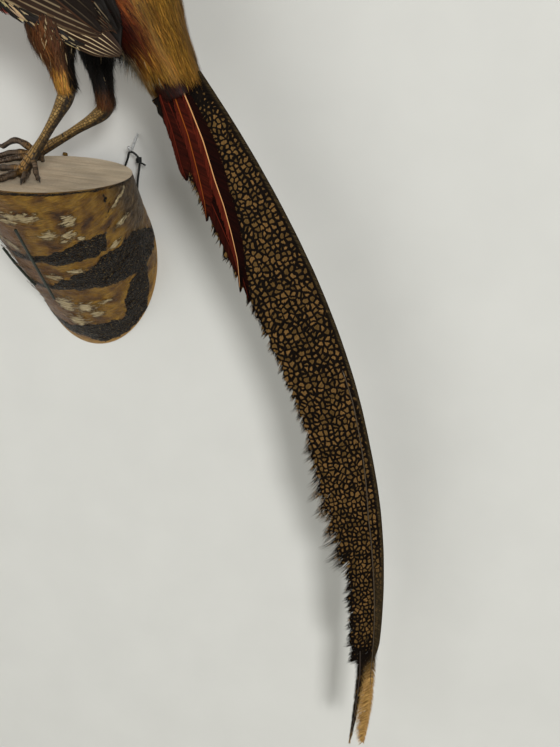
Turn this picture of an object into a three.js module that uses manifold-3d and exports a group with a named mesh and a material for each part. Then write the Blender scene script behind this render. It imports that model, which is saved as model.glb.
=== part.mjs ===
// A mounted golden pheasant cock standing on a section of log that hangs on a wall, life size.
// Millimetres. +X runs to the right along the wall, +Y points into the wall and +Z is up.
// The origin is the middle of the log's back cut, which lies flat on the wall.
// The bird faces -X, with its left side away from the wall and its tail hanging down past the log.

import * as THREE from 'three';
import { mergeVertices } from 'three/addons/utils/BufferGeometryUtils.js';
import Module from 'manifold-3d';

const wasm = await Module();
wasm.setup();

// ---- driving dimensions ----

const GAP = 0.4; // clearance between pieces that touch
const MIDLINE_Y = -108; // the bird's own plane of symmetry

// The log: a round section that rises out of the wall, sawn along the wall and nearly level on top.
const LOG_RADIUS_AT_WALL = 64;
const LOG_RADIUS_AT_TOP = 65.4;
const LOG_RISE = THREE.MathUtils.degToRad(43.6);
const LOG_TURN = THREE.MathUtils.degToRad(6.8);
const LOG_TOP = 103.7;
const LOG_TOP_SLOPE_X = -0.0654;
const LOG_TOP_SLOPE_Y = -0.0119;

// The body from the end of the rump to the base of the head: middle of each section in the bird's
// plane, half depth and half width, out to the feather tips.
const BODY = [
  { x: 128, z: 171, depth: 20, width: 21 },
  { x: 110.4, z: 207.1, depth: 26, width: 31 },
  { x: 90.2, z: 236.4, depth: 41.5, width: 42 },
  { x: 58, z: 261, depth: 55, width: 50 },
  { x: 14, z: 281, depth: 60, width: 56 },
  { x: -33, z: 300, depth: 58, width: 55 },
  { x: -73, z: 325, depth: 48, width: 47 },
  { x: -98, z: 356, depth: 33, width: 33 },
  { x: -112, z: 386, depth: 23, width: 22 },
  { x: -122, z: 417, depth: 15, width: 12.5 },
];
const RUMP_END = 2.3 / 9; // stations are spaced evenly, so a share of the count finds a place
const NECK_START = 6.2 / 9;
const CUT = 0.0008; // half of the clearance at a cut, as a share of the body

const HEAD = { x: -127, z: 421, length: 50, height: 32, width: 27, pitch: THREE.MathUtils.degToRad(8) };
const EYE = { forward: 6, up: 3.2, side: 9.2, radius: 5 };
const BILL = { length: 27, depth: 7, width: 5.4, hook: 5, lower: 22 };
const CAPE = { start: 0.94, end: 0.6, spread: 2.1, thick: 4.5 };
const CREST = { width: 14, thick: 8 };

// The tail: its ridge starts at the rump's end and curves down to the tip.
const RIDGE = { x: 147.6, z: 180.1, slope: 56.9, curl: 0.0573, sway: -3, length: 706 };
const RIDGE_TOWARDS_WALL = 28;
const TAIL_WIDTHS = [36, 47, 50, 47, 43, 42, 37, 31, 24, 18, 9];
const RIDGE_RISE = 5; // the upper feathers arch above the ridge's line over its first half
const TAIL_SPREAD = 20; // how far the lower edge of a half stands off the bird's plane
const TAIL_THICK = 2.2;
const TAIL_SIDE = { length: 430, inset: 4.2, thick: 1.8 };
const RED_COVERTS = [
  { start: -4, end: 62, top: 31.5, bottom: 46, width: 9 },
  { start: -2, end: 98, top: 22, bottom: 47, width: 9.5 },
  { start: 2, end: 162, top: 14.5, bottom: 50, width: 10.5 },
];
const COVERT_THICK = 0.9;

// The legs: hock and ball of the foot, left (near) and right (by the wall).
const LEGS = {
  left: {
    hock: [48.5, -139, 172],
    knee: [38, -141, 226],
    ball: [11.5, -150.5, 112],
    thigh: 17,
    toes: [
      { name: 'inner', path: [[5, -144, 112], [-9, -140, 111.5], [-24, -131.5, 109]], radius: 2.9 },
      { name: 'middle', path: [[9.5, -157, 111], [9, -173, 110.5], [3, -190, 108.5]], radius: 3.1 },
      { name: 'outer', path: [[16.5, -156.5, 110], [19.5, -164, 109.5], [21.5, -171.5, 108]], radius: 2.7 },
      { name: 'hind', path: [[21, -151, 119], [25, -155.5, 111], [29, -160.5, 107.6]], radius: 2.3 },
    ],
  },
  right: {
    hock: [53, -76, 155],
    knee: [46, -79, 224],
    ball: [-13, -81.5, 114.5],
    thigh: 15,
    toes: [
      { name: 'inner', path: [[-18, -88, 113], [-27, -97, 111.8], [-38, -107, 109.5]], radius: 2.7 },
      { name: 'middle', path: [[-21, -82, 114.8], [-35, -82, 114], [-48, -84, 111]], radius: 3.1 },
      { name: 'outer', path: [[-19, -74.5, 117], [-35, -71, 123.5], [-51, -68, 117]], radius: 2.9 },
      { name: 'hind', path: [[-6, -82.5, 117], [-7.4, -81.5, 111.4], [-8.1, -78, 107.9]], radius: 2.3 },
    ],
  },
};
const TARSUS_RADII = [7, 5.2, 4, 3.8, 4.4, 5.2];
const CLAW = { length: 9, radius: 1.5 };

const HOOK = { wall: [50.2, 0, 124], crook: [48.9, -14, 112], end: [47.6, -18.5, 115], radius: 1.3 };
const WIRE_RADIUS = 1;

// ---- colours ----

function finish(color, roughness, metalness = 0) {
  return new THREE.MeshStandardMaterial({ color, roughness, metalness });
}

// ---- making solids ----

/** A BufferGeometry with shared vertices and its faces pointing out. */
function closed(geometry) {
  geometry.deleteAttribute('normal');
  geometry.deleteAttribute('uv');
  geometry.clearGroups();
  const merged = mergeVertices(geometry, 1e-5);
  const p = merged.getAttribute('position');
  const index = merged.getIndex();
  const a = new THREE.Vector3();
  const b = new THREE.Vector3();
  const c = new THREE.Vector3();
  const kept = [];
  let volume = 0;
  for (let i = 0; i < index.count; i += 3) {
    const corner = [index.getX(i), index.getX(i + 1), index.getX(i + 2)];
    if (corner[0] === corner[1] || corner[1] === corner[2] || corner[2] === corner[0]) continue;
    kept.push(...corner);
    volume += a.fromBufferAttribute(p, corner[0]).dot(
      b.fromBufferAttribute(p, corner[1]).cross(c.fromBufferAttribute(p, corner[2])));
  }
  merged.setIndex(volume < 0 ? kept.reverse() : kept);
  return merged;
}

/** A round solid: place(share, angle, reach) gives a point, with reach 0 on the axis and 1 on the skin. */
function roundSolid(sides, steps, place) {
  const geometry = new THREE.CylinderGeometry(1, 1, 1, sides, steps);
  const p = geometry.getAttribute('position');
  for (let i = 0; i < p.count; i += 1) {
    const reach = Math.min(1, Math.hypot(p.getX(i), p.getZ(i)));
    const angle = Math.atan2(p.getX(i), p.getZ(i));
    const point = place(p.getY(i) + 0.5, angle, reach);
    p.setXYZ(i, point.x, point.y, point.z);
  }
  return closed(geometry);
}

/** A thin curved sheet: place(u, v, face) gives a point, with face 0 on the inside and 1 on the outside. */
function sheetSolid(lengthSteps, widthSteps, place) {
  const geometry = new THREE.BoxGeometry(1, 1, 1, lengthSteps, widthSteps, 1);
  const p = geometry.getAttribute('position');
  for (let i = 0; i < p.count; i += 1) {
    const point = place(p.getX(i) + 0.5, p.getY(i) + 0.5, p.getZ(i) + 0.5);
    p.setXYZ(i, point.x, point.y, point.z);
  }
  return closed(geometry);
}

/** The value at a share of the way along an evenly spaced list, on a smooth curve through it. */
function along(values, share) {
  const points = values.map((value) => new THREE.Vector3(value, 0, 0));
  return new THREE.CatmullRomCurve3(points, false, 'catmullrom', 0.5).getPoint(share).x;
}

function curveThrough(points) {
  return new THREE.CatmullRomCurve3(points.map((point) => new THREE.Vector3(...point)));
}

/** A round solid along a curve, with its radii spaced evenly along it and its section flattened. */
function limb(points, radii, sides, steps, flatten = 1) {
  const curve = curveThrough(points);
  const frames = curve.computeFrenetFrames(steps, false);
  return roundSolid(sides, steps, (share, angle, reach) => {
    const step = Math.round(share * steps);
    const radius = along(radii, share) * reach;
    const point = curve.getPointAt(share);
    point.addScaledVector(frames.normals[step], radius * Math.cos(angle));
    return point.addScaledVector(frames.binormals[step], radius * flatten * Math.sin(angle));
  });
}

function asManifold(geometry) {
  const vertProperties = Float32Array.from(geometry.getAttribute('position').array);
  const triVerts = Uint32Array.from(geometry.getIndex().array);
  return new wasm.Manifold(new wasm.Mesh({ numProp: 3, vertProperties, triVerts }));
}

function asGeometry(manifold) {
  const mesh = manifold.getMesh();
  const geometry = new THREE.BufferGeometry();
  geometry.setAttribute('position', new THREE.BufferAttribute(Float32Array.from(mesh.vertProperties), 3));
  geometry.setIndex(Array.from(mesh.triVerts));
  return geometry;
}

/** The geometry with each of the others cut out of it. */
function clearOf(geometry, ...others) {
  return asGeometry(others.reduce((left, other) => left.subtract(asManifold(other)), asManifold(geometry)));
}

function joined(geometry, ...others) {
  return asGeometry(others.reduce((left, other) => left.add(asManifold(other)), asManifold(geometry)));
}

// ---- the body's spine ----

const spine = new THREE.CatmullRomCurve3(BODY.map(({ x, z }) => new THREE.Vector3(x, MIDLINE_Y, z)));
const SPINE_SAMPLES = 90;

/** The middle, the direction of the back, and the half sizes of the body at a share of the spine. */
function section(share) {
  const middle = spine.getPoint(share);
  const forward = spine.getTangent(share);
  const back = new THREE.Vector3(forward.z, 0, -forward.x);
  const depth = along(BODY.map((station) => station.depth), share);
  const width = along(BODY.map((station) => station.width), share);
  return { middle, back, forward, depth, width };
}

/** A point on the body's skin: angle 0 is the back, pi the belly, and a positive angle faces the wall. */
function skinPoint(share, angle, offset = 0, reach = 1) {
  const { middle, back, depth, width } = section(share);
  const point = middle.clone();
  point.addScaledVector(back, Math.cos(angle) * (depth + offset) * reach);
  point.y += Math.sin(angle) * (width + offset) * reach;
  return point;
}

function bodyPart(start, end, sides, steps, offset = 0) {
  return roundSolid(sides, steps, (share, angle, reach) =>
    skinPoint(start + (end - start) * share, angle, offset, reach));
}

/** Half of the body's width at a place in the bird's plane, or 0 outside its outline. */
function halfWidthAt(x, z) {
  let best = { distance: Infinity, half: 0, width: 0 };
  for (let i = 0; i <= SPINE_SAMPLES; i += 1) {
    const { middle, back, forward, depth, width } = section(i / SPINE_SAMPLES);
    const dx = x - middle.x;
    const dz = z - middle.z;
    const distance = Math.abs(dx * forward.x + dz * forward.z);
    const height = (dx * back.x + dz * back.z) / depth;
    if (distance < best.distance && Math.abs(height) < 1.6) {
      best = { distance, half: width * Math.sqrt(Math.max(0, 1 - height * height)), width };
    }
  }
  return best;
}

// ---- the log and what holds it ----

const logAxis = new THREE.Vector3(
  Math.sin(LOG_TURN) * Math.cos(LOG_RISE),
  -Math.cos(LOG_TURN) * Math.cos(LOG_RISE),
  Math.sin(LOG_RISE));
const logRight = new THREE.Vector3(0, 0, 1).cross(logAxis).normalize();
const logBack = logAxis.clone().cross(logRight);

function logTopAt(x, y) {
  return LOG_TOP + LOG_TOP_SLOPE_X * x + LOG_TOP_SLOPE_Y * y;
}

/** A point on the bark: angle round the log from its right side, and the height up its axis. */
function barkPoint(angle, height, offset = 0, reach = 1) {
  const share = height / (LOG_TOP / Math.sin(LOG_RISE));
  const radius = THREE.MathUtils.lerp(LOG_RADIUS_AT_WALL, LOG_RADIUS_AT_TOP, share) + offset;
  const point = logAxis.clone().multiplyScalar(height);
  point.addScaledVector(logRight, Math.cos(angle) * radius * reach);
  return point.addScaledVector(logBack, Math.sin(angle) * radius * reach);
}

/** The log's surface runs along its axis from the wall's plane to the plane of its top. */
function perchLog(offset = 0) {
  return roundSolid(36, 4, (share, angle, reach) => {
    const swell = offset + 1.1 * Math.sin(3 * angle + 1) * Math.sin(Math.PI * share);
    const start = barkPoint(angle, 0, swell, reach);
    const low = start.clone().addScaledVector(logAxis, -start.y / logAxis.y);
    const slope = logAxis.z - LOG_TOP_SLOPE_X * logAxis.x - LOG_TOP_SLOPE_Y * logAxis.y;
    const rise = (logTopAt(start.x, start.y) - start.z) / slope;
    const high = barkPoint(angle, rise, swell, reach);
    high.z = logTopAt(high.x, high.y);
    const point = low.lerp(high, share);
    if (share === 0) point.y = 0;
    return point;
  });
}

function tubeAlong(points, radius, sides, steps) {
  return limb(points, [radius, radius], sides, steps);
}

function wallHook() {
  const { wall, crook, end, radius } = HOOK;
  const bend = [crook[0] - 0.5, crook[1] - 3, crook[2] + 0.2];
  const middle = wall.map((value, i) => (value + crook[i]) / 2);
  const start = [wall[0], -radius, wall[2]];
  return tubeAlong([start, middle, crook, bend, end], radius, 8, 9);
}

function hangerWire() {
  const [x, y, z] = HOOK.crook;
  const over = HOOK.radius + WIRE_RADIUS + GAP;
  return tubeAlong([
    [37.5, -11.5, 86.8],
    [40.4, -12, 94.5],
    [44.4, -12.5, 103.8],
    [x - 1.6, y - 0.8, z - over],
    [x + 1.6, y - 0.8, z - over],
    [55.5, -13, 104],
    [55.4, -12, 98],
    [53, -12, 84],
    [51.8, -12, 71.5],
  ], WIRE_RADIUS, 6, 22);
}

/** A stretch of wire that lies on the bark. */
function tieWire(startAngle, startHeight, endAngle, endHeight) {
  const points = [];
  const stretches = 5;
  for (let i = 0; i <= stretches; i += 1) {
    const share = i / stretches;
    const angle = THREE.MathUtils.degToRad(THREE.MathUtils.lerp(startAngle, endAngle, share));
    const height = THREE.MathUtils.lerp(startHeight, endHeight, share);
    points.push(barkPoint(angle, height, WIRE_RADIUS + GAP + 1.4).toArray());
  }
  return tubeAlong(points, WIRE_RADIUS * 1.3, 6, 7);
}

// ---- the head ----

/** A point given along the head's own axis: forward to the bill, up to the crown and across. */
function headPoint(forward, up, across) {
  const cos = Math.cos(HEAD.pitch);
  const sin = Math.sin(HEAD.pitch);
  return new THREE.Vector3(
    HEAD.x - forward * cos - up * sin,
    MIDLINE_Y + across,
    HEAD.z - forward * sin + up * cos);
}

/** The skull with its face feathers: full at the back, drawn in at the forehead. */
function headSolid(offset = 0) {
  return roundSolid(18, 10, (share, angle, reach) => {
    const turn = Math.PI * (0.04 + 0.92 * share);
    const taper = 1 - 0.36 * share ** 2.2;
    const forward = -Math.cos(turn) * (HEAD.length / 2 + offset);
    const radius = Math.sin(turn) * reach * taper;
    const up = Math.cos(angle) * (HEAD.height / 2 + offset) * radius;
    const across = Math.sin(angle) * (HEAD.width / 2 + offset) * radius;
    return headPoint(forward, up - 2.5 * share ** 2, across);
  });
}

function eyeBall(side, offset = 0) {
  const ball = new THREE.SphereGeometry(EYE.radius + offset, 12, 7);
  const centre = headPoint(EYE.forward, EYE.up, side * EYE.side);
  ball.translate(centre.x, centre.y, centre.z);
  return closed(ball);
}

/** Half of the bill, above or below the gape line, curved down to its tip. */
function billHalf(upper) {
  const length = upper ? BILL.length : BILL.lower;
  const depth = upper ? BILL.depth : BILL.depth * 0.5;
  return roundSolid(10, 5, (share, angle, reach) => {
    const slim = Math.max(0.05, Math.sqrt(1 - share ** 1.7));
    const rise = upper ? Math.max(0, Math.cos(angle)) : Math.min(0, Math.cos(angle));
    const up = rise * depth * slim * reach - BILL.hook * share ** 2 + (upper ? GAP / 2 : -GAP / 2);
    const across = Math.sin(angle) * BILL.width * slim * reach;
    return headPoint(HEAD.length / 2 - 8 + (length + 8) * share, up - 4.5, across);
  });
}

/** The crest lies back over the crown and nape from the bill's base. */
function crestSolid() {
  const course = [[21, 7], [12, 14.5], [-4, 17], [-19, 13], [-28, 1], [-34, -16], [-42, -35]];
  const curve = curveThrough(course.map(([forward, up]) => headPoint(forward, up, 0).toArray()));
  return roundSolid(12, 9, (share, angle, reach) => {
    const point = curve.getPointAt(share);
    const forward = curve.getTangentAt(share);
    const up = new THREE.Vector3(forward.z, 0, -forward.x);
    const swell = Math.sin(Math.PI * Math.min(1, 0.1 + share * 0.9)) ** 0.6;
    const thick = CREST.thick * Math.max(0.18, swell) * (1 - 0.35 * share);
    const half = CREST.width * Math.max(0.16, swell);
    point.addScaledVector(up, Math.cos(angle) * thick * reach);
    point.y += Math.sin(angle) * half * reach;
    return point;
  });
}

/** The cape wraps the back and sides of the neck and fans out over the shoulders. */
function capeSolid(offset = 0) {
  const reach = offset * 4 * CUT;
  return sheetSolid(7, 10, (u, v, face) => {
    const share = THREE.MathUtils.lerp(CAPE.start + reach, CAPE.end - reach, u);
    const angle = (v - 0.5) * 2 * (CAPE.spread + 10 * reach) * (1 - 0.25 * u);
    const edge = Math.sin(Math.PI * v) ** 0.5;
    const thick = 0.8 + (CAPE.thick * (1 - 0.55 * u) - 0.8) * edge;
    const out = face > 0.5 ? GAP + 0.5 + thick + offset : GAP + 0.5 - offset;
    return skinPoint(share, angle, out);
  });
}

// ---- wings ----

const WING_LOWER = [[-84, 290], [-48, 265], [-8, 241], [30, 217.5], [72, 198], [99, 193]];
const WING_UPPER = [[-84, 308], [-54, 331], [-8, 328], [44, 307], [84, 272], [101, 214]];
const wingLower = curveThrough(WING_LOWER.map(([x, z]) => [x, 0, z]));
const wingUpper = curveThrough(WING_UPPER.map(([x, z]) => [x, 0, z]));
const WING_THICK = 6;
const WING_STANDOFF = 1.3;

/** A folded wing hugs the body's side; its tip stands off the rump. */
function wingSolid(side, offset = 0) {
  return sheetSolid(16, 5, (u, v, face) => {
    const low = wingLower.getPoint(u);
    const high = wingUpper.getPoint(u);
    const point = low.lerp(high, v);
    const { half, width } = halfWidthAt(point.x, point.z);
    const rest = Math.max(half, width * 0.92, 36);
    const edge = (Math.sin(Math.PI * v) * Math.sin(Math.PI * (0.04 + 0.92 * u))) ** 0.5;
    const thick = 1.2 + (WING_THICK * (1 - 0.5 * u) - 1.2) * edge;
    const out = face > 0.5 ? thick + offset : -offset;
    point.y = MIDLINE_Y + side * (rest + WING_STANDOFF + out);
    return point;
  });
}

// ---- legs ----

/** The feathered thigh, from inside the flank down to the hock. */
function thighSolid({ hock, knee, thigh }) {
  const middle = hock.map((value, i) => THREE.MathUtils.lerp(value, knee[i], 0.42));
  const low = hock.map((value, i) => THREE.MathUtils.lerp(value, knee[i], 0.14));
  const radii = [thigh * 1.1, thigh, thigh * 0.6, TARSUS_RADII[0] + 0.6];
  return limb([knee, middle, low, hock], radii, 13, 6);
}

/** The scaled shank, from the hock to the ball of the foot, with the pad under it. */
function tarsusSolid({ hock, ball }, offset = 0) {
  const start = new THREE.Vector3(...hock);
  const end = new THREE.Vector3(...ball);
  const bow = start.clone().lerp(end, 0.5).add(new THREE.Vector3(1.5, 0, -1.5));
  const radii = TARSUS_RADII.map((radius) => radius + offset);
  const shank = limb([start.toArray(), bow.toArray(), ball], radii, 8, 7, 0.86);
  const pad = new THREE.SphereGeometry(6 + offset, 8, 6);
  pad.scale(1, 1, 0.9);
  pad.translate(ball[0], ball[1], ball[2] - 1.2);
  return joined(shank, closed(pad));
}

function toeSolid({ path, radius }) {
  return limb(path, [radius, radius * 1.02, radius * 0.86, radius * 0.8, radius * 0.66], 6, 6);
}

/** A claw carries on from its toe's end and bends down to the log. */
function clawSolid({ path, radius }) {
  const end = new THREE.Vector3(...path[2]);
  const before = new THREE.Vector3(...path[1]);
  const ahead = end.clone().sub(before).normalize();
  const start = end.clone().addScaledVector(ahead, GAP + radius * 0.3);
  const level = new THREE.Vector3(ahead.x, ahead.y, 0).setLength(CLAW.length * (radius / 3));
  const thick = CLAW.radius * (radius / 3);
  const middle = start.clone().addScaledVector(level, 0.5);
  const tip = start.clone().add(level);
  middle.z = Math.max(logTopAt(middle.x, middle.y) + thick + GAP, start.z);
  tip.z = Math.max(logTopAt(tip.x, tip.y) + thick * 0.6 + GAP, start.z - CLAW.length * 0.25);
  return limb([start.toArray(), middle.toArray(), tip.toArray()], [thick, thick * 0.75, 0.25], 5, 3);
}

// ---- tail ----

const ridgeCourse = (() => {
  const step = 2;
  const places = [];
  let { x, z } = RIDGE;
  for (let s = 0; s <= RIDGE.length + step; s += step) {
    const swing = RIDGE.sway * Math.sin((2 * Math.PI * s) / 700);
    const angle = THREE.MathUtils.degToRad(RIDGE.slope + RIDGE.curl * s + swing);
    places.push({ s, x, z, angle });
    x += Math.cos(angle) * step;
    z -= Math.sin(angle) * step;
  }
  return places;
})();

/** A point of the tail: s down the ridge, drop from the ridge to the lower edge, and side from the plane. */
function tailPoint(s, drop, side) {
  const near = ridgeCourse[Math.max(0, Math.min(ridgeCourse.length - 1, Math.round(s / 2)))];
  const extra = s - near.s;
  const x = near.x + Math.cos(near.angle) * extra;
  const z = near.z - Math.sin(near.angle) * extra;
  const y = MIDLINE_Y + RIDGE_TOWARDS_WALL * (Math.max(0, s) / 700) ** 1.5;
  return new THREE.Vector3(x - Math.sin(near.angle) * drop, y + side, z - Math.cos(near.angle) * drop);
}

function ridgeRise(s) {
  const share = Math.min(1, Math.max(0, (s + 30) / 370));
  return RIDGE_RISE * Math.max(0, Math.sin(Math.PI * share ** 0.8));
}

function tailWidth(s) {
  return along(TAIL_WIDTHS, Math.min(1, Math.max(0, s / RIDGE.length)));
}

/** How far a half of the tail stands off the plane at a drop: steep at the ridge, flatter below it. */
function tailFlare(s, drop) {
  const share = Math.min(1, Math.max(0, drop / 50));
  return TAIL_SPREAD * share ** 0.8 * (1 - 0.45 * (Math.max(0, s) / RIDGE.length));
}

/** One half of the roof that the tail's long feathers make. */
function tailHalf(side) {
  return sheetSolid(28, 3, (u, v, face) => {
    const s = THREE.MathUtils.lerp(-8, RIDGE.length, u);
    const drop = THREE.MathUtils.lerp(-ridgeRise(s), tailWidth(s), v);
    const thick = TAIL_THICK * (0.4 + 0.6 * Math.sin(Math.PI * (0.15 + 0.7 * v))) * (1 - 0.5 * u);
    const off = tailFlare(s, drop) + GAP / 2 + thick * face;
    return tailPoint(s, drop + (v === 0 ? 0.2 : 0), side * off);
  });
}

/** The shorter side feathers, tucked under the roof and reaching just past its lower edge. */
function tailSide(side) {
  return sheetSolid(16, 2, (u, v, face) => {
    const s = THREE.MathUtils.lerp(-6, TAIL_SIDE.length, u);
    const fade = 1 - 0.55 * u ** 3;
    const top = tailWidth(s) * 0.42;
    const drop = top + (tailWidth(s) + 2 - top) * v * fade;
    const off = tailFlare(s, drop) - TAIL_SIDE.inset + TAIL_SIDE.thick * face;
    return tailPoint(s, drop, side * off);
  });
}

/** A long narrow tail covert, lying on the outside of the roof. */
function redCovert(side, { start, end, top, bottom, width }, level) {
  return sheetSolid(9, 2, (u, v, face) => {
    const s = THREE.MathUtils.lerp(start, end, u);
    const blade = width * Math.sin(Math.PI * (0.2 + 0.78 * u)) ** 0.7;
    const drop = THREE.MathUtils.lerp(top, bottom, u) + blade * (v - 0.5);
    const lift = TAIL_THICK + GAP + 0.3 + level * (COVERT_THICK + GAP);
    return tailPoint(s, drop, side * (tailFlare(s, drop) + lift + COVERT_THICK * face));
  });
}

// ---- putting it together ----

const bird = new THREE.Group();

function place(name, geometry, material) {
  const mesh = new THREE.Mesh(geometry, material);
  mesh.name = name;
  bird.add(mesh);
}

place('perch_log', perchLog(), finish(0x7a5526, 0.55));
place('wall_hook', wallHook(), finish(0xc4c6c6, 0.25, 1));
place('hanger_wire', clearOf(hangerWire(), perchLog(GAP)), finish(0x17191a, 0.5, 0.6));
place('tie_wire_front', tieWire(-98.5, 170, -106.6, 41), finish(0x1c211d, 0.5, 0.6));
place('tie_wire_side', tieWire(-138, 100, -120, 56), finish(0x1c211d, 0.5, 0.6));

const rumpOuter = bodyPart(0, RUMP_END, 20, 5, GAP);
const torsoOuter = bodyPart(0, NECK_START, 22, 14, GAP);
const headOuter = headSolid(GAP);
const capeOuter = capeSolid(GAP);
place('rump', bodyPart(0, RUMP_END - CUT, 20, 5), finish(0x94732a, 0.7));
place('trunk', bodyPart(RUMP_END + CUT, NECK_START - CUT, 22, 9), finish(0x8f2415, 0.75));
place('neck', clearOf(bodyPart(NECK_START + CUT, 1, 18, 7), headOuter), finish(0xa6401c, 0.75));
const head = clearOf(headSolid(), eyeBall(1, 0.3), eyeBall(-1, 0.3));
place('head', head, finish(0xa9743a, 0.75));
place('cape', clearOf(capeSolid(), headOuter), finish(0xd9821f, 0.6));
const neckOuter = bodyPart(NECK_START, 1, 18, 7, GAP);
place('crest', clearOf(crestSolid(), headOuter, capeOuter, neckOuter), finish(0xe0a32a, 0.5));
place('bill_upper', clearOf(billHalf(true), headOuter), finish(0xb79a5c, 0.4));
place('bill_lower', clearOf(billHalf(false), headOuter), finish(0xb79a5c, 0.4));

for (const [name, side] of [['left', -1], ['right', 1]]) {
  const leg = LEGS[name];
  const tarsus = tarsusSolid(leg);
  const nearby = [torsoOuter, wingSolid(side, GAP), tarsusSolid(leg, GAP)];
  place(`eye_${name}`, eyeBall(side), finish(0xe3cf8e, 0.1));
  place(`wing_${name}`, clearOf(wingSolid(side), capeOuter), finish(0x2e2118, 0.6));
  place(`thigh_${name}`, clearOf(thighSolid(leg), ...nearby), finish(0x3a2617, 0.8));
  place(`tarsus_${name}`, tarsus, finish(0x8b7040, 0.45));
  for (const toe of leg.toes) {
    place(`toe_${name}_${toe.name}`, clearOf(toeSolid(toe), tarsus), finish(0x54452f, 0.5));
    place(`claw_${name}_${toe.name}`, clawSolid(toe), finish(0x2a211a, 0.4));
  }
  place(`tail_${name}`, clearOf(tailHalf(side), rumpOuter), finish(0x5a452b, 0.6));
  place(`tail_side_${name}`, clearOf(tailSide(side), rumpOuter), finish(0x4a3824, 0.6));
  RED_COVERTS.forEach((covert, i) => {
    const blade = clearOf(redCovert(side, covert, i % 2), rumpOuter);
    place(`tail_covert_${name}_${i + 1}`, blade, finish(0x84261a, 0.55));
  });
}

export default bird;
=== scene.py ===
"""Dresses the mounted golden pheasant: skin, feathers, scaled legs, horn, glass eyes, bark and wires.

Every size is in metres in the part's own frame: +X along the wall, +Y into the wall and +Z up.
The bird faces -X.
"""

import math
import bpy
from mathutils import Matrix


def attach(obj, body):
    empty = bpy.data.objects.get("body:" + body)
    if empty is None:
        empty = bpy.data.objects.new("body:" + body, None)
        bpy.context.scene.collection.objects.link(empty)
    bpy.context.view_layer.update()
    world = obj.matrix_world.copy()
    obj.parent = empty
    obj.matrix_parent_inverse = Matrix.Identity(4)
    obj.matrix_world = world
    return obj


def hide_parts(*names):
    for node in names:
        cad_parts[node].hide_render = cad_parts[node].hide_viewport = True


bl_info = {
    "name": "Mounted golden pheasant",
    "version": (1, 0, 0),
    "blender": (4, 5, 0),
    "location": "3D View > Sidebar > Pheasant",
    "description": "Builds the plumage, legs, log and stage of a mounted golden pheasant cock",
    "category": "Object",
}

from types import SimpleNamespace

import bpy
import numpy as np
from mathutils import Matrix, Vector, noise
from mathutils.kdtree import KDTree

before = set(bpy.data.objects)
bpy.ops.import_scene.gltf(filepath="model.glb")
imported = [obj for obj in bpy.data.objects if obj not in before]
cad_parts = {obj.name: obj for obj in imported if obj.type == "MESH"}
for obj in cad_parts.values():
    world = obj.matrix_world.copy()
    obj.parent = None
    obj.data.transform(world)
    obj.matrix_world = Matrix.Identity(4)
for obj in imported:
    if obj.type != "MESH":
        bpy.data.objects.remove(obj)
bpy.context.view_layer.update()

MM = 0.001
PI = math.pi

# ---- the bird's measures, shared with its solids ----

MIDLINE_Y = -108 * MM

# Middle of each section in the bird's plane, half depth and half width, from the rump's end to the head
BODY = np.array([
    (128, 171, 20, 21),
    (110.4, 207.1, 26, 31),
    (90.2, 236.4, 41.5, 42),
    (58, 261, 55, 50),
    (14, 281, 60, 56),
    (-33, 300, 58, 55),
    (-73, 325, 48, 47),
    (-98, 356, 33, 33),
    (-112, 386, 23, 22),
    (-122, 417, 15, 12.5),
]) * MM

HEAD_X, HEAD_Z = -127 * MM, 421 * MM
HEAD_LENGTH, HEAD_HEIGHT, HEAD_WIDTH = 50 * MM, 32 * MM, 27 * MM
HEAD_PITCH = math.radians(8)
EYE_FORWARD, EYE_UP, EYE_SIDE, EYE_RADIUS = 6 * MM, 3.2 * MM, 9.2 * MM, 5 * MM
BILL_LENGTH, BILL_DEPTH, BILL_WIDTH, BILL_HOOK = 27 * MM, 7 * MM, 5.4 * MM, 5 * MM
BILL_LOWER = 22 * MM
CREST_COURSE = [(21, 7), (12, 14.5), (-4, 17), (-19, 13), (-28, 1), (-34, -16), (-42, -35)]
CREST_WIDTH, CREST_THICK = 14 * MM, 8 * MM

RIDGE_X, RIDGE_Z = 147.6 * MM, 180.1 * MM
RIDGE_LENGTH = 706 * MM
RIDGE_TOWARDS_WALL = 28 * MM
TAIL_WIDTHS = np.array([36, 47, 50, 47, 43, 42, 37, 31, 24, 18, 9]) * MM
TAIL_SPREAD = 20 * MM
RIDGE_RISE = 5 * MM
TAIL_THICK = 2.2 * MM

WING_LOWER = np.array([(-84, 290), (-48, 265), (-8, 241), (30, 217.5), (72, 198), (99, 193)]) * MM
WING_UPPER = np.array([(-84, 308), (-54, 331), (-8, 328), (44, 307), (84, 272), (101, 214)]) * MM
WING_THICK = 6 * MM
WING_STANDOFF = 1.3 * MM

LEGS = {
    "left": {
        "hock": (48.5, -139, 172), "knee": (38, -141, 226), "ball": (11.5, -150.5, 112), "thigh": 17,
        "toes": {
            "inner": ((5, -144, 112), (-9, -140, 111.5), (-24, -131.5, 109), 2.9),
            "middle": ((9.5, -157, 111), (9, -173, 110.5), (3, -190, 108.5), 3.1),
            "outer": ((16.5, -156.5, 110), (19.5, -164, 109.5), (21.5, -171.5, 108), 2.7),
            "hind": ((21, -151, 119), (25, -155.5, 111), (29, -160.5, 107.6), 2.3),
        },
    },
    "right": {
        "hock": (53, -76, 155), "knee": (46, -79, 224), "ball": (-13, -81.5, 114.5), "thigh": 15,
        "toes": {
            "inner": ((-18, -88, 113), (-27, -97, 111.8), (-38, -107, 109.5), 2.7),
            "middle": ((-21, -82, 114.8), (-35, -82, 114), (-48, -84, 111), 3.1),
            "outer": ((-19, -74.5, 117), (-35, -71, 123.5), (-51, -68, 117), 2.9),
            "hind": ((-6, -82.5, 117), (-7.4, -81.5, 111.4), (-8.1, -78, 107.9), 2.3),
        },
    },
}
SIDES = {"left": -1, "right": 1}
CLAW_LENGTH = 9 * MM

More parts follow.
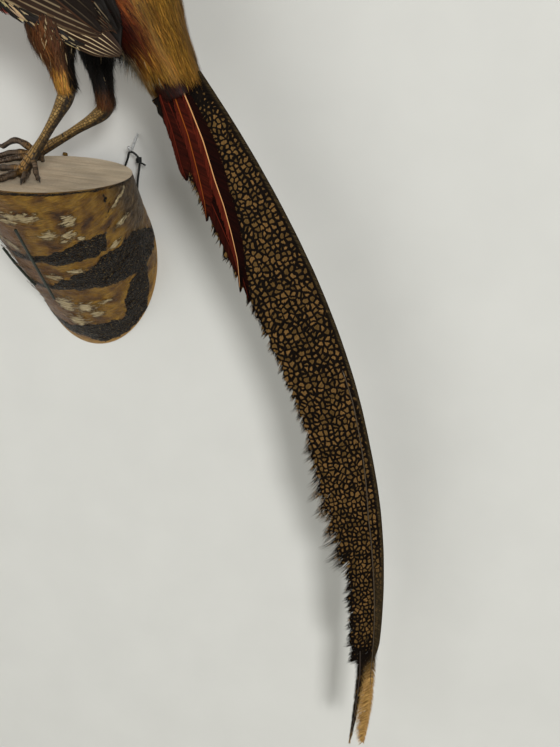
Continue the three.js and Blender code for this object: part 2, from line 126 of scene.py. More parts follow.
LOG_RADIUS_AT_WALL, LOG_RADIUS_AT_TOP = 64 * MM, 65.4 * MM
LOG_RISE, LOG_TURN = math.radians(43.6), math.radians(6.8)
LOG_TOP = 103.7 * MM
LOG_TOP_SLOPE_X, LOG_TOP_SLOPE_Y = -0.0654, -0.0119

HOOK_WALL, HOOK_CROOK, HOOK_END = (50.2, 0, 124), (48.9, -14, 112), (47.6, -18.5, 115)
HOOK_RADIUS, WIRE_RADIUS = 1.3 * MM, 1 * MM
HELIX_TURNS = 3.2  # of the wire's end round itself

CAMERA_PLACE = (0.347, -0.773, 0.2235)
CAMERA_TILT, CAMERA_TURN, CAMERA_ROLL = math.radians(22.5), math.radians(-11.5), math.radians(1.0)
CAMERA_LENS = 40.96


# ---- how many feathers, strands and barbs each coat has ----

RUMP_BARBS, RUMP_STRANDS, VENT_WISPS = 2600, 17000, 1500
BREAST_FEATHERS, NECK_FEATHERS, FACE_FEATHERS = 15000, 5200, 5200
CAPE_ROWS, CREST_STRANDS, SCAPULARS, THIGH_STRANDS = 15, 3600, 170, 5200
STRAY_BARBS, SIDE_BARBS, LOOSE_COVERT_BARBS, SPLINTERS = 900, 60, 200, 46


# ---- colours ----

def linear(code):
    """The linear colour of an sRGB hex code."""
    parts = [int(code[i:i + 2], 16) / 255 for i in (1, 3, 5)]
    return tuple(p / 12.92 if p <= 0.04045 else ((p + 0.055) / 1.055) ** 2.4 for p in parts)


def colour(code):
    return (*linear(code), 1.0)


# ---- numbers ----

def blend(low, high, value):
    """0 below low, 1 above high, smooth between them."""
    share = np.clip((value - low) / (high - low), 0, 1)
    return share * share * (3 - 2 * share)


def through(points, shares, even=False):
    """Points on a smooth curve through a list; shares count the list's points evenly from 0 to 1."""
    points = np.asarray(points, float)
    if points.ndim == 1:
        points = points[:, None]
    shares = np.asarray(shares, float)
    full = np.vstack([2 * points[0] - points[1], points, 2 * points[-1] - points[-2]])
    place = np.clip(shares.ravel(), 0, 1) * (len(points) - 1)
    first = np.minimum(place.astype(int), len(points) - 2)
    part = (place - first)[:, None]
    a, b, c, d = (full[first + i] for i in range(4))
    if even:
        leave, arrive = (c - a) / 2, (d - b) / 2
    else:
        gaps = [np.maximum(np.linalg.norm(q - p, axis=1, keepdims=True), 1e-9) ** 0.5
                for p, q in ((a, b), (b, c), (c, d))]
        leave = ((b - a) / gaps[0] - (c - a) / (gaps[0] + gaps[1]) + (c - b) / gaps[1]) * gaps[1]
        arrive = ((c - b) / gaps[1] - (d - b) / (gaps[1] + gaps[2]) + (d - c) / gaps[2]) * gaps[1]
    curve = b + leave * part + (3 * (c - b) - 2 * leave - arrive) * part ** 2
    curve = curve + (2 * (b - c) + leave + arrive) * part ** 3
    return curve.reshape(*shares.shape, points.shape[1])


def unit(vectors):
    return vectors / np.maximum(np.linalg.norm(vectors, axis=-1, keepdims=True), 1e-12)


def ripple(points, size, seed=0.0):
    """Smooth noise from -1 to 1 at each point, with lumps of the given size."""
    flat = points.reshape(-1, 3) / size + seed
    return np.array([noise.noise(p) for p in flat]).reshape(points.shape[:-1])


def rippled(first, second, size, seed=0.0):
    """Smooth noise over two coordinates."""
    return ripple(np.stack(np.broadcast_arrays(first, second, 0.0), axis=-1), size, seed)


def pairs(first, second):
    """Two tables that hold every pair of values from two lists."""
    return np.meshgrid(first, second, indexing="ij")


def turns(count):
    """Angles of a full turn, without the last, which is the first again."""
    return np.linspace(0, 2 * PI, count, endpoint=False)


def ball_grid(rows, columns):
    """A unit ball in rings from pole to pole."""
    tilt, turn = pairs(np.linspace(0.05, PI - 0.05, rows), turns(columns))
    return np.stack([np.sin(tilt) * np.cos(turn), np.sin(tilt) * np.sin(turn), np.cos(tilt)], axis=-1)


def toward(first, second, share):
    return first + (second - first) * np.asarray(share)[..., None]


def opaque(tint):
    """A colour or a table of colours with an alpha of 1."""
    return np.concatenate([tint, np.ones((*np.shape(tint)[:-1], 1))], axis=-1)


# ---- surfaces that feathers lie on ----

class Surface:
    """A sampled surface: u runs the way the feathers lie and v runs across them."""

    def __init__(self, place, u_range, v_range, counts, inner):
        self.start = np.array([u_range[0], v_range[0]], float)
        self.step = np.array([
            (u_range[1] - u_range[0]) / (counts[0] - 1),
            (v_range[1] - v_range[0]) / (counts[1] - 1),
        ])
        u, v = pairs(np.linspace(*u_range, counts[0]), np.linspace(*v_range, counts[1]))
        self.grid = place(u, v)
        self.by_u = np.gradient(self.grid, axis=0) / self.step[0]
        self.by_v = np.gradient(self.grid, axis=1) / self.step[1]
        self.normal = unit(np.cross(self.by_u, self.by_v))
        if ((self.grid - np.asarray(inner)) * self.normal).sum(-1).mean() < 0:
            self.normal = -self.normal

    def look_up(self, table, u, v):
        place_u = (u - self.start[0]) / self.step[0]
        place_v = (v - self.start[1]) / self.step[1]
        i = np.clip(place_u.astype(int), 0, table.shape[0] - 2)
        j = np.clip(place_v.astype(int), 0, table.shape[1] - 2)
        a = (place_u - i)[..., None]
        b = (place_v - j)[..., None]
        low = table[i, j] * (1 - b) + table[i, j + 1] * b
        high = table[i + 1, j] * (1 - b) + table[i + 1, j + 1] * b
        return low * (1 - a) + high * a

    def points(self, u, v, lift):
        lift = np.broadcast_to(lift, u.shape)[..., None]
        return self.look_up(self.grid, u, v) + self.look_up(self.normal, u, v) * lift

    def stretch(self, u, v):
        """Metres for each unit of u and of v."""
        return (np.linalg.norm(self.look_up(self.by_u, u, v), axis=-1),
                np.linalg.norm(self.look_up(self.by_v, u, v), axis=-1))


ATTRIBUTE_KINDS = {1: ("FLOAT", "value"), 3: ("FLOAT_VECTOR", "vector"), 4: ("FLOAT_COLOR", "color")}


def put_attribute(mesh, name, table):
    kind, field = ATTRIBUTE_KINDS[table.shape[-1]]
    mesh.attributes.new(name, kind, "POINT").data.foreach_set(field, table.ravel())


class Mesher:
    """Gathers grids of points and writes them as one mesh with its attributes and bake map."""

    def __init__(self):
        self.points, self.quads, self.triangles, self.values = [], [], [], []
        self.count = 0

    def add(self, points, wrap=False, caps=False, **values):
        """Adds grids shaped (copies, rows, columns, 3) with named values that broadcast to the same shape."""
        points = np.asarray(points, float)
        if points.ndim == 3:
            points = points[None]
        shape = points.shape[:3]
        index = np.arange(np.prod(shape)).reshape(shape) + self.count
        ring = np.concatenate([index, index[:, :, :1]], axis=2) if wrap else index
        quads = np.stack([ring[:, :-1, :-1], ring[:, 1:, :-1], ring[:, 1:, 1:], ring[:, :-1, 1:]], axis=-1)
        self.quads.append(quads.reshape(-1, 4))
        rows = {}
        for name, value in values.items():
            value = np.atleast_1d(value)
            rows[name] = np.broadcast_to(value, (*shape, value.shape[-1])).reshape(-1, value.shape[-1])
        flat = points.reshape(-1, 3)
        if caps:
            for row, outward in ((0, 1), (-1, -1)):
                middle = points[:, row].mean(axis=1)
                centre = np.arange(shape[0]) + self.count + len(flat)
                edge = ring[:, row]
                hubs = np.broadcast_to(centre[:, None], edge[:, 1:].shape)
                pair = (edge[:, :-1], edge[:, 1:])[::outward]
                self.triangles.append(np.stack([hubs, *pair], axis=-1).reshape(-1, 3))
                flat = np.vstack([flat, middle])
                picked = index[:, row, 0] - self.count
                rows = {name: np.vstack([value, value[picked]]) for name, value in rows.items()}
        self.points.append(flat)
        self.values.append(rows)
        self.count += len(flat)

    def make(self, name, material):
        quads = np.vstack(self.quads)
        triangles = np.vstack(self.triangles) if self.triangles else np.zeros((0, 3), int)
        corners = np.concatenate([quads.ravel(), triangles.ravel()])
        starts = np.concatenate([np.arange(len(quads)) * 4, len(quads) * 4 + np.arange(len(triangles)) * 3])
        mesh = bpy.data.meshes.new(name)
        mesh.vertices.add(self.count)
        mesh.vertices.foreach_set("co", np.vstack(self.points).ravel())
        mesh.loops.add(len(corners))
        mesh.loops.foreach_set("vertex_index", corners)
        mesh.polygons.add(len(starts))
        mesh.polygons.foreach_set("loop_start", starts)
        mesh.polygons.foreach_set("use_smooth", np.ones(len(starts), bool))
        mesh.update(calc_edges=True)
        for key in self.values[0]:
            table = np.vstack([rows[key] for rows in self.values])
            if key == "bake":
                layer = mesh.uv_layers.new(name="OFBake")
                layer.data.foreach_set("uv", table[corners].ravel())
            else:
                put_attribute(mesh, key, table)
        piece = bpy.data.objects.new(name, mesh)
        bpy.context.collection.objects.link(piece)
        mesh.materials.append(material)
        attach(piece, "root")
        return piece


# Outlines of feathers: the share of the full width at a share of the length

def hair_outline(share):
    return 0.55 + 0.45 * np.sin(PI * np.minimum(1, share * 1.3 + 0.1)) - 0.62 * share ** 3


def leaf_outline(share):
    return np.clip(np.sin(PI * (0.12 + 0.8 * share)) ** 0.7 - 0.1 * share, 0.12, 1)


def square_outline(share):
    return np.where(share > 0.97, 0.72, 0.45 + 0.55 * np.minimum(1, share * 1.5))


def blade_outline(share):
    """A flight feather: nearly even, rounded at the tip."""
    return np.clip(np.minimum(1, 0.5 + share * 3) * np.sqrt(np.clip(1.04 - share ** 5, 0.02, 1)), 0.1, 1)


def lay(mesher, surface, u, v, length, width, outline, *, seed, tint, rows=5, columns=3, turn=0.0, bend=0.0,
        lift=0.4 * MM, rise=1.5 * MM, camber=0.3 * MM, bake_area=None, **values):
    """Lays one strip of feather for each root at u, v; turn swings it across the lie and bend curves it."""
    count = len(u)
    share = np.linspace(0, 1, rows)[None, :, None]
    across = np.linspace(-1, 1, columns)[None, None, :]
    u0, v0, length, width, turn, bend, lift, rise = [
        np.broadcast_to(np.asarray(value, float), (count,))[:, None, None]
        for value in (u, v, length, width, turn, bend, lift, rise)]
    reach = length * share
    side = across * width / 2 * outline(share) + bend * length * share ** 2
    per_u, per_v = surface.stretch(u0[:, :, 0], v0[:, :, 0])
    at_u = u0 + (reach * np.cos(turn) - side * np.sin(turn)) / per_u[..., None]
    at_v = v0 + (reach * np.sin(turn) + side * np.cos(turn)) / per_v[..., None]
    height = lift + rise * share + camber * (1 - across ** 2) * outline(share)
    area = bake_area or ((u.min(), u.max() + 1e-6), (v.min(), v.max() + 1e-6))
    patch = 0.003  # each feather's own small patch of the bake map
    places = [patch + (1 - 3 * patch) * (value - low) / (high - low)
              for value, (low, high) in zip((u, v), area)]
    bake = np.stack(np.broadcast_arrays(
        places[0][:, None, None] + patch * share,
        places[1][:, None, None] + patch * (0.5 + 0.5 * across)), axis=-1)
    mesher.add(surface.points(at_u, at_v, height), bake=bake, along=share[..., None],
               across=across[..., None], seed=seed[:, None, None, None],
               tint=opaque(tint)[:, None, None], **values)


def add_sheet(mesher, front, back, values):
    """A thin closed sheet from its front and back points, with the same values on both."""
    both = {key: np.concatenate([value, value[:, ::-1]], axis=1) for key, value in values.items()}
    mesher.add(np.concatenate([front, back[:, ::-1]], axis=1), wrap=True, caps=True, **both)


# ---- the body and the head as surfaces ----

SPINE_SHARES = np.linspace(0, 1, 361)
SPINE = through(BODY[:, :2], SPINE_SHARES)
SPINE_SIZES = through(BODY[:, 2:], SPINE_SHARES, even=True)
SPINE_WAY = np.concatenate([[0], np.cumsum(np.linalg.norm(np.diff(SPINE, axis=0), axis=1))])
SPINE_LENGTH = SPINE_WAY[-1]
SPINE_HEADING = unit(np.gradient(SPINE, SPINE_WAY, axis=0))


def down_at(share):
    """The distance down from the head's end of the neck to a share of the body's stations."""
    return SPINE_LENGTH - np.interp(share, SPINE_SHARES, SPINE_WAY)


def body_place(down, angle, lift=0.0):
    """A point on the body, at a distance down from the head; angle 0 is the back and pi the belly."""
    way = SPINE_LENGTH - down
    heading = np.stack([np.interp(way, SPINE_WAY, SPINE_HEADING[:, i]) for i in range(2)], axis=-1)
    middle = np.stack([np.interp(way, SPINE_WAY, SPINE[:, i]) for i in range(2)], axis=-1)
    beyond = np.minimum(way, 0) + np.maximum(way - SPINE_LENGTH, 0)
    middle = middle + heading * beyond[..., None]
    narrow = 1 + 4.0 * np.minimum(way, 0)
    depth = np.interp(way, SPINE_WAY, SPINE_SIZES[:, 0]) * narrow + lift
    width = np.interp(way, SPINE_WAY, SPINE_SIZES[:, 1]) * narrow + lift
    x = middle[..., 0] + heading[..., 1] * np.cos(angle) * depth
    z = middle[..., 1] - heading[..., 0] * np.cos(angle) * depth
    return np.stack([x, MIDLINE_Y + np.sin(angle) * width, z], axis=-1)


def head_place(forward, up, across):
    cos, sin = math.cos(HEAD_PITCH), math.sin(HEAD_PITCH)
    return np.stack(np.broadcast_arrays(
        HEAD_X - forward * cos - up * sin, MIDLINE_Y + across, HEAD_Z - forward * sin + up * cos),
        axis=-1)


def skull_place(share, angle, lift=0.0):
    """A point on the head: share 0 is the bill's base and 1 the back of the skull."""
    front = 1 - share
    turn = PI * (0.04 + 0.92 * front)
    radius = np.sin(turn) * (1 - 0.36 * front ** 2.2)
    up = np.cos(angle) * (HEAD_HEIGHT / 2 + lift) * radius
    across = np.sin(angle) * (HEAD_WIDTH / 2 + lift) * radius
    return head_place(-np.cos(turn) * (HEAD_LENGTH / 2 + lift), up - 2.5 * MM * front ** 2, across)


BODY_SURFACE = Surface(body_place, (0.0, SPINE_LENGTH + 0.07), (-1.2 * PI, 1.2 * PI), (220, 121),
                       (0.02, MIDLINE_Y, 0.28))
HEAD_SURFACE = Surface(skull_place, (0.02, 0.98), (-1.2 * PI, 1.2 * PI), (60, 97),
                       (HEAD_X, MIDLINE_Y, HEAD_Z))


def crest_place(share, angle):
    stations = [head_place(forward * MM, up * MM, 0.0) for forward, up in CREST_COURSE]
    course = through(stations, share)
    ahead = unit(through(stations, share + 0.01) - course)
    swell = np.sin(PI * np.minimum(1, 0.1 + share * 0.9)) ** 0.6
    thick = CREST_THICK * np.maximum(0.18, swell) * (1 - 0.35 * share)
    half = CREST_WIDTH * np.maximum(0.16, swell)
    x = course[..., 0] + ahead[..., 2] * np.cos(angle) * thick
    z = course[..., 2] - ahead[..., 0] * np.cos(angle) * thick
    return np.stack([x, course[..., 1] + np.sin(angle) * half, z], axis=-1)


CREST_SURFACE = Surface(crest_place, (0.0, 0.97), (-1.2 * PI, 1.2 * PI), (60, 61),
                        (-0.13, MIDLINE_Y, 0.425))


# ---- the tail and wings as surfaces ----

RIDGE_STEP = 2 * MM
RIDGE_PLACES = np.arange(0, RIDGE_LENGTH + RIDGE_STEP, RIDGE_STEP)
RIDGE_ANGLES = np.radians(56.9 + 57.3 * RIDGE_PLACES - 3 * np.sin(2 * PI * RIDGE_PLACES / 0.7))
RIDGE = np.stack([
    RIDGE_X + np.concatenate([[0], np.cumsum(np.cos(RIDGE_ANGLES[:-1]))]) * RIDGE_STEP,
    RIDGE_Z - np.concatenate([[0], np.cumsum(np.sin(RIDGE_ANGLES[:-1]))]) * RIDGE_STEP,
], axis=-1)


def tail_place(s, drop, side):
    """A point of the tail: s down the ridge, drop below it and side from the bird's plane."""
    angle = np.interp(s, RIDGE_PLACES, RIDGE_ANGLES)
    beyond = np.minimum(s, 0) + np.maximum(s - RIDGE_LENGTH, 0)
    x = np.interp(s, RIDGE_PLACES, RIDGE[:, 0]) + np.cos(angle) * beyond
    z = np.interp(s, RIDGE_PLACES, RIDGE[:, 1]) - np.sin(angle) * beyond
    y = MIDLINE_Y + RIDGE_TOWARDS_WALL * (np.maximum(0, s) / 0.7) ** 1.5
    return np.stack([x - np.sin(angle) * drop, y + side, z - np.cos(angle) * drop], axis=-1)


def ridge_rise(s):
    """How far the upper feathers arch above the ridge's line over the tail's first half."""
    share = np.clip((s + 0.03) / 0.37, 0, 1)
    return RIDGE_RISE * np.maximum(0, np.sin(PI * share ** 0.8))


def tail_width(s):
    return through(TAIL_WIDTHS, s / RIDGE_LENGTH, even=True)[..., 0]


def tail_flare(s, drop):
    spread = TAIL_SPREAD * np.clip(drop / (50 * MM), 0, 1) ** 0.8
    return spread * (1 - 0.45 * np.maximum(0, s) / RIDGE_LENGTH)


def tail_surface(side, out):
    """The outside of one half of the tail's roof, at a distance out from its inner face."""
    return Surface(lambda s, drop: tail_place(s, drop, side * (tail_flare(s, drop) + out)),
                   (-0.03, 0.72), (-0.006, 0.075), (240, 44), (0.3, MIDLINE_Y - side * 0.1, -0.1))


def half_width_at(x, z):
    """Half of the body's width at points of the bird's plane, as the solids take it."""
    every = slice(0, 361, 4)
    middle, sizes, heading = SPINE[every], SPINE_SIZES[every], SPINE_HEADING[every]
    dx = x[..., None] - middle[:, 0]
    dz = z[..., None] - middle[:, 1]
    distance = np.abs(dx * heading[:, 0] + dz * heading[:, 1])
    height = (dx * heading[:, 1] - dz * heading[:, 0]) / sizes[:, 0]
    distance = np.where(np.abs(height) < 1.6, distance, 9.0)
    best = distance.argmin(axis=-1)
    picked = np.take_along_axis(height, best[..., None], axis=-1)[..., 0]
    width = sizes[best, 1]
    return width * np.sqrt(np.clip(1 - picked ** 2, 0, 1)), width


def wing_place(side, p, q, out=0.0):
    """A point on a folded wing: p from the shoulder to the tip and q from the lower edge to the upper."""
    low, high = through(WING_LOWER, p), through(WING_UPPER, p)
    flat = low * (1 - q[..., None]) + high * q[..., None]
    half, width = half_width_at(flat[..., 0], flat[..., 1])
    rest = np.maximum(np.maximum(half, width * 0.92), 36 * MM)
    inside = np.clip(q, 0, 1)
    edge = (np.sin(PI * inside) * np.sin(PI * (0.04 + 0.92 * np.clip(p, 0, 1)))) ** 0.5
    thick = 0.6 * MM + (WING_THICK * (1 - 0.5 * p) - 2.6 * MM) * edge
    y = MIDLINE_Y + side * (rest + WING_STANDOFF + thick + out)
    return np.stack([flat[..., 0], y, flat[..., 1]], axis=-1)


WING_SURFACES = {
    name: Surface(lambda p, q, side=side: wing_place(side, p, q), (0.0, 1.0), (0.0, 1.0), (70, 30),
                  (0.0, MIDLINE_Y, 0.27))
    for name, side in SIDES.items()
}


def tube_rings(points, radii, sides, steps, flatten=1.0):
    """Rings of points along a smooth curve; each ring starts on the side that faces up or back."""
    shares = np.linspace(0, 1, steps + 1)
    fine = through(points, np.linspace(0, 1, 400))
    way = np.concatenate([[0], np.cumsum(np.linalg.norm(np.diff(fine, axis=0), axis=1))])
    centre = np.stack([np.interp(shares * way[-1], way, fine[:, i]) for i in range(3)], axis=-1)
    ahead = unit(np.gradient(centre, axis=0))
    guide = Vector((0.1, 0.2, 1.0)) if abs(ahead[0][2]) < 0.8 else Vector((1.0, 0.0, 0.0))
    side = []
    for direction in ahead:
        guide = (guide - Vector(direction) * guide.dot(Vector(direction))).normalized()
        side.append(tuple(guide))
    side = np.array(side)
    other = np.cross(ahead, side)
    radius = through(radii, shares, even=True)[:, 0]
    cos, sin = (wave(turns(sides))[None, :, None] for wave in (np.cos, np.sin))
    ring = cos * side[:, None] + flatten * sin * other[:, None]
    return centre[:, None] + ring * radius[:, None, None], centre, way[-1]


def thigh_place(name, share, angle):
    """A point on a feathered thigh, from inside the flank at share 0 to the hock at 1."""
    leg = LEGS[name]
    hock, knee = np.array(leg["hock"]) * MM, np.array(leg["knee"]) * MM
    thick = leg["thigh"] * MM
    course = [knee, hock + (knee - hock) * 0.42, hock + (knee - hock) * 0.14, hock]
    rings, _, _ = tube_rings(course, [thick * 1.1, thick, thick * 0.6, 7.6 * MM], 48, 60)
    rings = np.concatenate([rings, rings[:, :1]], axis=1)
    table = Surface(lambda u, v: rings, (0, 1), (0, 2 * PI), (61, 49), hock)
    return table.points(share, np.mod(angle, 2 * PI), 0.0)


THIGH_SURFACES = {
    name: Surface(lambda u, v, name=name: thigh_place(name, u, v), (0.0, 1.0), (0.0, 2 * PI - 1e-6),
                  (50, 49), (np.array(LEGS[name]["hock"]) + np.array(LEGS[name]["knee"])) * MM / 2)
    for name in SIDES
}


# ---- materials ----

RGBA = {"out": 2, "data_type": "RGBA"}  # a Mix of colours: 0 is the share, 6 the first and 7 the second
FLAT_EDGE = {"feature": "DISTANCE_TO_EDGE", "voronoi_dimensions": "2D"}
FLAT_CELL = {"feature": "F1", "voronoi_dimensions": "2D"}


def add(tree, kind, inputs=None, out=0, stops=None, **settings):
    """Adds a shader node, sets it, fills or links its inputs, and gives its output."""
    node = tree.nodes.new("ShaderNode" + kind)
    for key, value in settings.items():
        setattr(node, key, value)
    for key, value in (inputs or {}).items():
        if isinstance(value, bpy.types.NodeSocket):
            tree.links.new(value, node.inputs[key])
        else:
            node.inputs[key].default_value = value
    if stops:
        elements = node.color_ramp.elements
        while len(elements) < len(stops):
            elements.new(0.5)
        for element, (position, code) in zip(elements, stops):
            element.position = position
            element.color = colour(code)
    return node.outputs[out]


def start(name, **values):
    """A new material with its Principled shader's values set, and its tree."""
    material = bpy.data.materials.new(name)
    material.use_nodes = True
    tree = material.node_tree
    for key, value in values.items():
        tree.nodes["Principled BSDF"].inputs[key.replace("_", " ")].default_value = value
    return material, tree


def finished(material, **sockets):
    """Links sockets to the material's Principled shader and gives the material."""
    tree = material.node_tree
    for key, socket in sockets.items():
        tree.links.new(socket, tree.nodes["Principled BSDF"].inputs[key.replace("_", " ")])
    return material


def plumage_material(name, roughness, contrast, root=0.55, shaft=0.12, gloss=0.1, mark=None, **values):
    """Feather: overlapping barbs of keratin, which give fine streaks along the lie and a soft sheen."""
    material, tree = start(name, Roughness=roughness, Specular_IOR_Level=gloss, **values)
    along, across, seed = (add(tree, "Attribute", attribute_name=key, out=2)
                           for key in ("along", "across", "seed"))
    tint = add(tree, "Attribute", attribute_name="tint")
    middle = add(tree, "Math", {0: across}, operation="ABSOLUTE")
    slant = add(tree, "Math", {0: middle, 1: -0.28, 2: along}, operation="MULTIPLY_ADD")
    place = add(tree, "CombineXYZ", {0: across, 1: slant, 2: seed})
    place = add(tree, "VectorMath", {0: place, 1: (2.2, 10.2, 60.0)}, operation="MULTIPLY")
    streak = add(tree, "TexNoise", {"Vector": place, "Scale": 2.0, "Detail": 2.0, "Roughness": 0.6})
    light = add(tree, "MapRange", {0: streak, 1: 0.3, 2: 0.7, 3: 1 - contrast, 4: 1 + contrast})
    grown = add(tree, "MapRange", {0: along, 1: 0.0, 2: 0.55, 3: root, 4: 1.0})
    light = add(tree, "Math", {0: light, 1: grown}, operation="MULTIPLY")
    quill = add(tree, "MapRange", {0: middle, 1: 0.0, 2: 0.16, 3: 1 + shaft * 3, 4: 1.0})
    light = add(tree, "Math", {0: light, 1: quill}, operation="MULTIPLY")
    base = add(tree, "VectorMath", {0: tint, 3: light}, operation="SCALE")
    return finished(material, Base_Color=mark(tree, base, along, across) if mark else base)


def cape_bars(tree, base, along, across):
    """Two blue-black bars across the square end of each cape feather."""
    plane = add(tree, "CombineXYZ", {0: across, 1: along})
    wave = add(tree, "TexNoise", {"Vector": plane, "Scale": 3.0})
    place = add(tree, "Math", {0: wave, 1: 0.05, 2: along}, operation="MULTIPLY_ADD")
    bars = add(tree, "ValToRGB", {0: place}, stops=(
        (0.0, "#FFFFFF"), (0.70, "#FFFFFF"), (0.72, "#000000"), (0.79, "#000000"),
        (0.81, "#FFFFFF"), (0.93, "#FFFFFF"), (0.95, "#000000")))
    return add(tree, "Mix", {0: bars, 6: colour("#0B1020"), 7: base}, **RGBA)


def dark_edge(tree, base, along, across):
    """A velvet black edge round each green feather of the upper back."""
    side = add(tree, "Math", {0: across, 1: 2.0}, operation="POWER")
    reach = add(tree, "Math", {0: side, 1: 0.22, 2: along}, operation="MULTIPLY_ADD")
    edge = add(tree, "MapRange", {0: reach, 1: 0.84, 2: 0.9})
    return add(tree, "Mix", {0: edge, 6: base, 7: colour("#080A09")}, **RGBA)


def flight_material(name):
    """Flight feather: dark webs, a pale edge to the outer web and a pale shaft, smooth with little gloss."""
    material, tree = start(name, Roughness=0.5, Specular_IOR_Level=0.12)
    along, across, seed, pale = (add(tree, "Attribute", attribute_name=key, out=2)
                                 for key in ("along", "across", "seed", "quill"))
    tint, web = (add(tree, "Attribute", attribute_name=key) for key in ("tint", "web"))
    slant = add(tree, "Math", {0: across, 1: -0.35, 2: along}, operation="MULTIPLY_ADD")
    place = add(tree, "CombineXYZ", {0: across, 1: slant, 2: seed})
    fine, coarse = (add(tree, "VectorMath", {0: place, 1: scale}, operation="MULTIPLY")
                    for scale in ((1.5, 46.0, 40.0), (1.6, 9.0, 40.0)))
    barbs = add(tree, "TexNoise", {"Vector": fine, "Scale": 1.6, "Detail": 3.0})
    blotch = add(tree, "TexNoise", {"Vector": coarse, "Scale": 1.2, "Detail": 4.0, "Roughness": 0.7})
    # the pale colour keeps to the outer web's edge and breaks up along it
    ragged = add(tree, "Math", {0: blotch, 1: 0.5, 2: across}, operation="MULTIPLY_ADD")
    outer = add(tree, "MapRange", {0: ragged, 1: -0.50, 2: -0.58})
    web = add(tree, "Mix", {0: outer, 6: web, 7: tint}, **RGBA)
    far = add(tree, "Math", {0: across, 1: 0.3}, operation="ADD")
    far = add(tree, "Math", {0: far}, operation="ABSOLUTE")
    quill = add(tree, "MapRange", {0: far, 1: 0.04, 2: 0.10, 3: 1.0, 4: 0.0})
    fade = add(tree, "MapRange", {0: along, 1: 0.88, 2: 1.0, 3: 1.0, 4: 0.0})
    for share in (fade, pale):
        quill = add(tree, "Math", {0: quill, 1: share}, operation="MULTIPLY")
    light = add(tree, "MapRange", {0: barbs, 1: 0.3, 2: 0.7, 3: 0.55, 4: 1.4})
    web = add(tree, "VectorMath", {0: web, 3: light}, operation="SCALE")
    return finished(material, Base_Color=add(tree, "Mix", {0: quill, 6: web, 7: colour("#C4AE88")}, **RGBA))


def tail_material(name):
    """Tail feather: tan spots in a near-black net, olive along the ridge and golden at the tips."""
    material, tree = start(name, Roughness=0.7, Specular_IOR_Level=0.04)
    cell, barb = (add(tree, "Attribute", attribute_name=key, out=1) for key in ("cell", "barb"))
    dark, buff, plain = (add(tree, "Attribute", attribute_name=key, out=2)
                         for key in ("dark", "buff", "plain"))
    sway = add(tree, "TexNoise", {"Vector": cell, "Scale": 0.9, "Detail": 1.0}, out=1)
    sway = add(tree, "VectorMath", {0: sway, 1: (-0.5, -0.5, -0.5)}, operation="ADD")
    place = add(tree, "VectorMath", {0: sway, 1: (0.8, 0.8, 0.0), 2: cell}, operation="MULTIPLY_ADD")
    fringe = add(tree, "TexNoise", {"Vector": barb, "Scale": 1.0, "Detail": 2.0})
    fringe = add(tree, "Math", {0: fringe, 1: 0.5}, operation="SUBTRACT")
    shift = add(tree, "CombineXYZ", {0: add(tree, "Math", {0: fringe, 1: 0.65}, operation="MULTIPLY")})
    place = add(tree, "VectorMath", {0: place, 1: shift}, operation="ADD")
    spots = {"Vector": place, "Scale": 1.0, "Randomness": 0.8}
    edge = add(tree, "TexVoronoi", spots, **FLAT_EDGE)
    lot = add(tree, "TexVoronoi", spots, out=1, **FLAT_CELL)
    wide = add(tree, "TexNoise", {"Vector": cell, "Scale": 0.35, "Detail": 2.0})
    wide = add(tree, "Math", {0: wide, 1: 0.5}, operation="SUBTRACT")
    edge = add(tree, "Math", {0: wide, 1: 0.3, 2: edge}, operation="MULTIPLY_ADD")
    edge = add(tree, "Math", {0: dark, 1: -0.5, 2: edge}, operation="MULTIPLY_ADD")
    spot = add(tree, "MapRange", {0: edge, 1: 0.19, 2: 0.27})
    tan = add(tree, "ValToRGB", {0: lot}, stops=(
        (0.0, "#463419"), (0.45, "#624A28"), (0.8, "#745630"), (1.0, "#544224")))
    core = add(tree, "MapRange", {0: edge, 1: 0.22, 2: 0.42, 3: 1.12, 4: 0.85})
    web = add(tree, "VectorMath", {0: tan, 3: core}, operation="SCALE")
    # the net round the spots, the ridge's olive and the tips' gold, each streaked along the barbs
    for mask, low, deep, pale in ((spot, -0.15, "#050302", "#140D07"), (plain, -0.2, "#19130B", "#3A301E"),
                                  (buff, -0.2, "#60401A", "#C09A5C")):
        streak = add(tree, "MapRange", {0: fringe, 1: low, 2: 0.2})
        streak = add(tree, "Mix", {0: streak, 6: colour(deep), 7: colour(pale)}, **RGBA)
        layers = {6: streak, 7: web} if mask is spot else {6: web, 7: streak}
        web = add(tree, "Mix", {0: mask, **layers}, **RGBA)
    light = add(tree, "MapRange", {0: fringe, 1: -0.25, 2: 0.25, 3: 0.62, 4: 1.35})
    return finished(material, Base_Color=add(tree, "VectorMath", {0: web, 3: light}, operation="SCALE"),
                    Normal=add(tree, "Bump", {"Strength": 0.35, "Distance": 0.0004, "Height": fringe}))


def quill_material(name):
    """Feather shaft: smooth pale horn in its own tint."""
    material, tree = start(name, Roughness=0.35)
    tint = add(tree, "Attribute", attribute_name="tint")
    grain = add(tree, "TexNoise", {"Vector": add(tree, "TexCoord", out=3), "Scale": 300.0})
    light = add(tree, "MapRange", {0: grain, 1: 0.3, 2: 0.7, 3: 0.85, 4: 1.15})
    return finished(material, Base_Color=add(tree, "VectorMath", {0: tint, 3: light}, operation="SCALE"))


def skin_material(name):
    """Dried skin and down under the coat, in the coat's own markings, matt."""
    material, tree = start(name, Roughness=0.85)
    tint = add(tree, "Attribute", attribute_name="tint")
    down = add(tree, "TexNoise", {"Vector": add(tree, "TexCoord", out=3), "Scale": 420.0, "Detail": 4.0})
    light = add(tree, "MapRange", {0: down, 1: 0.3, 2: 0.7, 3: 0.35, 4: 0.75})
    return finished(material, Base_Color=add(tree, "VectorMath", {0: tint, 3: light}, operation="SCALE"),
                    Normal=add(tree, "Bump", {"Strength": 0.5, "Distance": 0.0006, "Height": down}))


